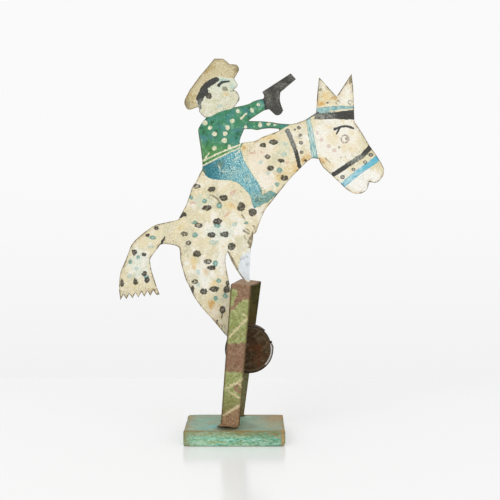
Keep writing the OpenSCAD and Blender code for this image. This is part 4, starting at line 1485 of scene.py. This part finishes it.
def board_finish(look):
    """Chipped turquoise paint over brown wood, greyer on the top."""
    board = Finish("Board paint", specular=0.25)
    place = board.millimetres()
    grain_place = board.millimetres((0.07, 1, 1))
    long_place = board.millimetres((0.2, 1, 1))
    grain = board.clouds(grain_place, 0.5, 6, 0.68)
    lines = board.clouds(grain_place, 1.3, 4, 0.65)
    broad = board.clouds(long_place, 0.11, 6, 0.66)
    streak = board.clouds(long_place, 0.34, 6, 0.68)
    dashes = board.clouds(long_place, 0.27, 6, 0.7)
    ticks = board.clouds(board.millimetres((0.42, 1, 1)), 0.7, 4, 0.65)
    mottle = board.clouds(place, 0.42, 6, 0.7)
    top = board.layer("top")
    edge = board.layer("edge")
    right = board.layer("to_right")
    up = board.node("SeparateXYZ", {0: place})["Z"]
    bright = board.coats(
        board.mix(broad, 0.35, 0.65, (136, 188, 148), look.turquoise),
        (streak, 0.5, 0.75, 0.85, (198, 236, 212)),
        (streak, 0.32, 0.1, 0.7, (76, 134, 102)),
        (dashes, 0.56, 0.8, 0.75, (178, 180, 104)),
        (mottle, 0.66, 0.9, 0.6, (206, 236, 216)),
        (ticks, 0.6, 0.8, 0.75, (206, 242, 224)),
        (ticks, 0.4, 0.2, 0.7, (84, 122, 80)),
        (up, 7, 15, 0.34, (112, 122, 74)),
        (right, 8, 42, 0.32, (78, 144, 120)),
        (right, 0, -40, 0.3, (180, 226, 194)),
    )
    dull = board.coats(
        board.mix(broad, 0.3, 0.7, look.grey_green, (138, 190, 172)),
        (streak, 0.5, 0.8, 0.75, (182, 204, 176)),
        (streak, 0.42, 0.14, 0.75, (102, 134, 112)),
        (lines, 0.56, 0.85, 0.7, (142, 124, 76)),
        (broad, 0.56, 0.86, 0.75, (168, 136, 80)),
        (broad, 0.44, 0.14, 0.85, (106, 184, 180)),
    )
    # Brown wash along the edges, at both ends of the front and at the back of the top
    off_end = board.spread(board.layer("end"), 1.0, 0.3)
    right_tip = board.step(right, 52, 64, off_end)
    left_end = board.step(right, -46, -64, off_end)
    back = board.spread(board.step(board.layer("to_back"), -20, 25), 0.5, 1.0)
    top_ends = board.times(board.most(left_end, board.step(right, 14, 52)), back)
    ends = board.spread(top, board.most(left_end, right_tip), top_ends)
    along = board.step(board.plus(mottle, broad), 0.5, 1.2, board.step(edge, 10.0, 0.5))
    along = board.times(along, board.spread(board.step(up, 3, 9), 0.2, 1.0))
    speckle = board.plus(mottle, streak)
    washed = board.most(along, board.step(speckle, 0.25, 1.0, ends))
    wash = board.blend(board.step(edge, 1, 5, top), (142, 122, 72), (168, 134, 84))
    # Dirt and painted shadow around the strap's front foot
    soiled_and_shaded = board.plus(board.layer("soil_and_shadow"), board.times(speckle, 0.4))
    # Painted shadow under the front foot's lip
    shadow_under_lip = board.plus(board.layer("shadow_under_lip"), board.times(streak, 0.5))
    # Chips and flakes that show the wood, and rubbed edges
    amount = board.plus(board.times(board.step(edge, 7.0, 0.0), 0.12), board.spread(broad, 0.06, 0.38))
    amount = board.less(board.plus(amount, board.times(right_tip, 0.6)), board.times(top, 0.14))
    chips = board.group("Chipped paint", place=long_place, scale=0.35, amount=amount)["Mask"]
    fewer = board.times(amount, 0.9)
    flakes = board.group("Chipped paint", place=long_place, scale=0.8, amount=fewer)["Mask"]
    bare = board.most(chips, flakes)
    wood = board.coats(
        board.mix(grain, 0.25, 0.75, look.wood, (164, 112, 62)),
        (lines, 0.55, 0.85, 0.6, look.dirt),
        (right_tip, 0.5, (232, 192, 134)),
    )
    rubbed = board.plus(edge, board.times(mottle, -1.8))
    colour = board.coats(
        board.blend(top, bright, dull),
        (washed, 0.85, wash),
        # Dirt and painted shadow around the foot, in the dirt colour
        (soiled_and_shaded, 0.1, 1.0, 0.42, look.dirt),
        # Painted shadow under the lip, dark brown
        (shadow_under_lip, 0.0, 0.9, 0.8, (72, 56, 32)),
        (bare, 0.78, wood),
        (rubbed, 0.4, -1.2, 0.9, board.blend(right_tip, (128, 118, 76), (214, 170, 108))),
    )
    shown = board.shaded(colour, mottle, 0.76, 1.22)
    height = board.less(board.times(board.plus(lines, mottle), 0.4), bare)
    return board.show(shown, board.spread(bare, 0.55, 0.82), height, 0.3 * MM, 0.7)


class TOY_OT_board(bpy.types.Operator):
    """Models the worn, painted board"""

    bl_idname = "toy.board"
    bl_label = "Board"

    def execute(self, context):
        look = context.scene.toy_board
        low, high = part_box("base_board")
        points, faces = board_grid(low, high, 1.2 * MM)
        worn = [worn_place(p, low, high, look.corner) for p in points]
        piece = new_piece("worn_board", worn, faces, board_finish(look), "base_board", smooth=0.7)
        give_layers(piece.data, board_layers(points, worn, low, high))
        return {"FINISHED"}


# The weight

def weight_frame():
    """The weight's axes (right, up, out), the middle of the slug's face, its radius and its depth."""
    mesh = NODES["weight_slug"].data
    points = np.array([tuple(v.co) for v in mesh.vertices])
    out = Vector()
    for face in mesh.polygons:
        if face.normal.y < FACES_FRONT:
            out += face.normal * face.area
    out.normalize()
    right = Vector((1, 0, 0))
    up = right.cross(-out)
    up.normalize()
    axes = np.array([tuple(right), tuple(up), tuple(out)])
    local = points @ axes.T
    low, high = local.min(axis=0), local.max(axis=0)
    middle = axes.T @ np.array([(low[0] + high[0]) / 2, (low[1] + high[1]) / 2, high[2]])
    return axes, middle, (high[0] - low[0]) / 2, high[2] - low[2]


def lathe(profile, count):
    """Rings of points from a profile of radius and height, with the faces between them."""
    points = []
    faces = []
    for radius, height in profile:
        for k in range(count):
            angle = 2 * math.pi * k / count
            points.append((radius * math.cos(angle), radius * math.sin(angle), height))
    for i in range(len(profile) - 1):
        for k in range(count):
            a, b = i * count + k, i * count + (k + 1) % count
            faces.append((a, b, b + count, a + count))
    return np.array(points), faces


def slug_finish(look):
    """Dark, scaly rust."""
    slug = Finish("Slug rust", specular=0.25)
    place = slug.millimetres()
    rust = slug.rust(place, 0.5, look)
    scale = slug.clouds(place, 0.11, 6, 0.66)
    pits = slug.clouds(place, 0.28, 6, 0.68)
    streaks = slug.clouds(slug.leaning(place, -40, (2.6, 1, 1)), 0.2, 6, 0.7)
    colour = slug.coats(
        rust["Color"],
        (scale, 0.5, 0.85, 0.8, look.scale),
        (streaks, 0.56, 0.82, 0.7, (112, 98, 82)),
        (streaks, 0.36, 0.14, 0.7, (34, 20, 10)),
        (pits, 0.35, 0.1, 0.85, (30, 18, 10)),
    )
    height = slug.plus(rust["Height"], pits)
    return slug.show(colour, slug.spread(scale, 0.7, 0.95), height, 0.4 * MM, 0.8)


def lid_finish(look):
    """Tarnished tin, with the old cement that fills it, and a painted reflection of bright tin on the
    cement's outer ring.
    """
    lid = Finish("Lid tin", specular=0.3)
    place = lid.millimetres()
    patches = lid.clouds(place, 0.2, 6, 0.66)
    shift = lid.times(lid.less(patches, 0.5), 0.5)
    # Painted reflection of bright tin on the cement's outer ring, with a ragged edge
    rubbed = lid.step(lid.plus(lid.layer("bright"), shift), 0.62, 0.82)
    rust = lid.rust(place, 0.6, look)
    tarnished = lid.blend(rust["Mask"], look.dark_tin, rust["Color"])
    colour = lid.coats(tarnished, (lid.layer("filled"), 0.8, look.scale))
    # The painted reflection laid over the rest
    shown = lid.blend(rubbed, colour, look.tin)
    return lid.show(shown, lid.spread(patches, 0.5, 0.8), patches, 0.15 * MM, 0.5)


def make_slug(look, axes, middle, radius, depth):
    """A cast disc with a pitted face and a worn edge."""
    count = 140
    rings = 26
    face = [(radius * 0.96 * k / rings + 0.02 * MM, 0.0) for k in range(rings + 1)]
    edge = [(radius * 0.985, -0.25 * MM), (radius, -1.0 * MM), (radius, -depth * 0.5), (radius, -depth)]
    points, faces = lathe(face + edge, count)
    for p in points:
        if p[2] > -0.5 * MM:
            p[2] -= 0.25 * MM * (0.5 + 0.5 * noise.fractal(Vector(p) * 90, 1.0, 2.0, 4))
    faces.append(tuple(reversed(range(count))))
    faces.append(tuple(range(len(points) - count, len(points))))
    flipped = [tuple(reversed(f)) for f in faces]
    new_piece("rusty_slug", points @ axes + middle, flipped, slug_finish(look), "weight_slug", smooth=0.7)


def lid_profile(wall, floor, lip, roll):
    """The lid's radius and height from the middle of its floor, up its wall and round its rolled edge."""
    floor_rings, wall_rings, roll_rings = 16, 14, 12
    profile = [(wall * k / floor_rings + 0.02 * MM, floor) for k in range(floor_rings)]
    profile += [(wall - 0.5 * MM, floor), (wall - 0.1 * MM, floor + 0.15 * MM)]
    profile += [(wall, floor + (lip - floor) * k / wall_rings) for k in range(1, wall_rings + 1)]
    for k in range(1, roll_rings + 1):
        angle = math.pi - k * math.radians(25)
        profile.append((wall + roll + roll * math.cos(angle), lip + roll * math.sin(angle)))
    return profile


def make_lid(look, axes, middle, radius, depth):
    """A turned lid with a rolled edge, part of whose wall has broken away."""
    lid_low, lid_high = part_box("weight_lid")
    count = 240
    thick = 0.36 * MM
    roll = 0.3 * MM
    lip = 0.4 * MM
    floor = -depth - 0.3 * MM
    wall = (lid_high.x - lid_low.x) / 2 - 2 * roll - thick / 2
    points, faces = lathe(lid_profile(wall, floor, lip, roll), count)
    lid_count = len(points)
    # Old cement fills the gap between the slug and the wall
    crust = radius + 0.9 * MM
    cement = [
        (wall, -0.9 * MM), (crust, -0.6 * MM), (crust - 0.2 * MM, -0.3 * MM), (radius - 0.3 * MM, -0.5 * MM),
    ]
    filler, filler_faces = lathe(cement, count)
    faces += [tuple(i + lid_count for i in face) for face in filler_faces]
    points = np.concatenate([points, filler])
    filled = np.arange(len(points)) >= lid_count
    reach = np.hypot(points[:, 0], points[:, 1])
    around = np.arctan2(points[:, 1], points[:, 0])
    kept = []
    for face in faces:
        x, y, z = points[list(face)].mean(axis=0)
        ragged = 0 if z > lip - 1 * MM else 0.05 * noise.noise(Vector((z * 900, x * 300, 4.2)))
        gone = look.break_start + ragged < math.atan2(y, x) < look.break_end + ragged
        if not (gone and math.hypot(x, y) > crust + 0.4 * MM):
            kept.append(face)
    # The torn ends stand off the slug and hook in at their tips
    gap = np.minimum(np.abs(around - look.break_start), np.abs(around - look.break_end))
    hooked = (points[:, 2] > floor + 6 * MM) & ~filled
    stand_off = 0.012 * np.exp(-((gap - 0.16) / 0.09) ** 2)
    hook = 0.05 * np.clip(1 - gap / 0.1, 0, 1) ** 1.5
    points[:, :2] *= (1 + (stand_off - hook) * hooked)[:, None]
    # Painted reflection on the outer ring of cement, brightest at the left and right
    reflection_band = filled & (reach > crust - 0.1 * MM)
    brightest_reflection = math.radians(-12)
    bright = np.where(reflection_band, np.cos(around - brightest_reflection) ** 2, -1)
    piece = new_piece("broken_lid", points @ axes + middle, kept, lid_finish(look), "weight_lid", smooth=0.7)
    give_layers(piece.data, {"bright": bright, "filled": filled})
    solid = piece.modifiers.new("Thickness", "SOLIDIFY")
    solid.thickness = thick
    solid.offset = 0
    solid.use_rim = True


class TOY_OT_weight(bpy.types.Operator):
    """Models the broken tin lid and the rusty slug in it"""

    bl_idname = "toy.weight"
    bl_label = "Weight"

    def execute(self, context):
        look = context.scene.toy_weight
        shape = weight_frame()
        make_slug(look, *shape)
        make_lid(look, *shape)
        return {"FINISHED"}


# The stage

def seen_straight(nodes):
    """1 for what the camera sees straight, in gloss or through glass."""
    rays = nodes.node("LightPath")
    return nodes.most(rays["Is Camera Ray"], rays["Is Glossy Ray"], rays["Is Transmission Ray"])


def floor_finish(look):
    """A pale, slightly glossy surface that shows near white and keeps shadows."""
    floor = Finish("Pale floor")
    floor.sockets["Base Color"].default_value = (*look.floor, 1)
    floor.sockets["Roughness"].default_value = 0.2
    floor.sockets["Emission Color"].default_value = (1, 1, 1, 1)
    floor.feed(floor.sockets["Emission Strength"], floor.times(seen_straight(floor), look.floor_glow))
    return floor.material


def flat_stage(name, corners, material):
    """One flat piece of the stage."""
    mesh = bpy.data.meshes.new(name)
    mesh.from_pydata(corners, [], [range(len(corners))])
    mesh.materials.append(material)
    piece = bpy.data.objects.new(name, mesh)
    bpy.context.scene.collection.objects.link(piece)


def add_lamp(name, place, power, size):
    """A wide soft lamp that points at the middle of the object."""
    lamp = bpy.data.lights.new(name, "AREA")
    lamp.energy = power
    lamp.size = size
    piece = bpy.data.objects.new(name, lamp)
    piece.location = place
    aim = Vector((0.02, 0, 0.24)) - piece.location
    piece.rotation_euler = aim.to_track_quat("-Z", "Y").to_euler()
    # The lamp's square shape doesn't show in the glossy floor
    piece.visible_glossy = False
    bpy.context.scene.collection.objects.link(piece)


def even_sky(look):
    """Even light from all round, which shows as a nearly white backdrop."""
    world = bpy.data.worlds.new("Even light")
    world.use_nodes = True
    sky = Nodes(world.node_tree)
    light = sky.tree.nodes["Background"]
    light.inputs["Color"].default_value = (1, 1, 1, 1)
    light.inputs["Strength"].default_value = look.sky
    direction = sky.node("TexCoord")["Generated"]
    height = sky.node("SeparateXYZ", {0: direction})["Z"]
    white = sky.spread(sky.step(height, -0.22, 0.05), look.low_white, look.high_white)
    backdrop = sky.node("Background", {"Color": (1, 1, 1, 1), "Strength": white})[0]
    shown = sky.node("MixShader", {0: seen_straight(sky), 1: light.outputs[0], 2: backdrop})[0]
    sky.feed(sky.tree.nodes["World Output"].inputs["Surface"], shown)
    return world


def photo_camera():
    """A camera that sees the object as the photograph shows it."""
    camera = bpy.data.cameras.new("camera")
    camera.sensor_fit = "HORIZONTAL"
    camera.lens = FOCAL_PIXELS / PHOTO_SIDE * camera.sensor_width
    camera.shift_x = 0.5 - AHEAD_PIXEL[0] / PHOTO_SIDE
    camera.shift_y = AHEAD_PIXEL[1] / PHOTO_SIDE - 0.5
    piece = bpy.data.objects.new("camera", camera)
    piece.location = CAMERA_PLACE
    piece.rotation_euler = (math.pi / 2, 0, 0)
    return piece


class TOY_OT_stage(bpy.types.Operator):
    """Sets the floor, lamps, sky and camera"""

    bl_idname = "toy.stage"
    bl_label = "Stage"

    def execute(self, context):
        scene = context.scene
        look = scene.toy_stage
        scene.view_settings.view_transform = "Standard"
        far, near, wide = look.floor_end, -3.0, 3.0
        corners = [(-wide, near, 0), (wide, near, 0), (wide, far, 0), (-wide, far, 0)]
        flat_stage("floor", corners, floor_finish(look))
        add_lamp("key lamp", (-0.9, -1.3, 1.2), look.key_power, 1.0)
        add_lamp("fill lamp", (1.1, -1.2, 0.7), look.fill_power, 1.0)
        scene.world = even_sky(look)
        scene.camera = photo_camera()
        scene.collection.objects.link(scene.camera)
        return {"FINISHED"}


class TOY_PT_panel(bpy.types.Panel):
    """Lists the toy's pieces"""

    bl_idname = "TOY_PT_panel"
    bl_label = "Balancing toy"
    bl_space_type = "VIEW_3D"
    bl_region_type = "UI"
    bl_category = "Balancing toy"

    def draw(self, context):
        for operator in OPERATORS:
            self.layout.operator(operator.bl_idname)


OPERATORS = (
    TOY_OT_stage, TOY_OT_figure, TOY_OT_foot, TOY_OT_strap, TOY_OT_board, TOY_OT_weight, TOY_OT_fasteners,
)
LOOKS = {
    "toy_figure": FigureLook, "toy_strap": StrapLook, "toy_board": BoardLook, "toy_weight": WeightLook,
    "toy_metal": MetalLook, "toy_stage": StageLook,
}


def register():
    """Adds the properties, operators and panel."""
    for name, look in LOOKS.items():
        bpy.utils.register_class(look)
        setattr(bpy.types.Scene, name, bpy.props.PointerProperty(type=look))
    for operator in OPERATORS:
        bpy.utils.register_class(operator)
    bpy.utils.register_class(TOY_PT_panel)


def unregister():
    """Takes them away again."""
    bpy.utils.unregister_class(TOY_PT_panel)
    for operator in reversed(OPERATORS):
        bpy.utils.unregister_class(operator)
    for name, look in LOOKS.items():
        delattr(bpy.types.Scene, name)
        bpy.utils.unregister_class(look)


def main():
    """Builds every piece."""
    register()
    make_groups()
    bpy.ops.toy.stage()
    bpy.ops.toy.figure()
    bpy.ops.toy.foot()
    bpy.ops.toy.strap()
    bpy.ops.toy.board()
    bpy.ops.toy.weight()
    bpy.ops.toy.fasteners()


if __name__ == "__main__":
    main()
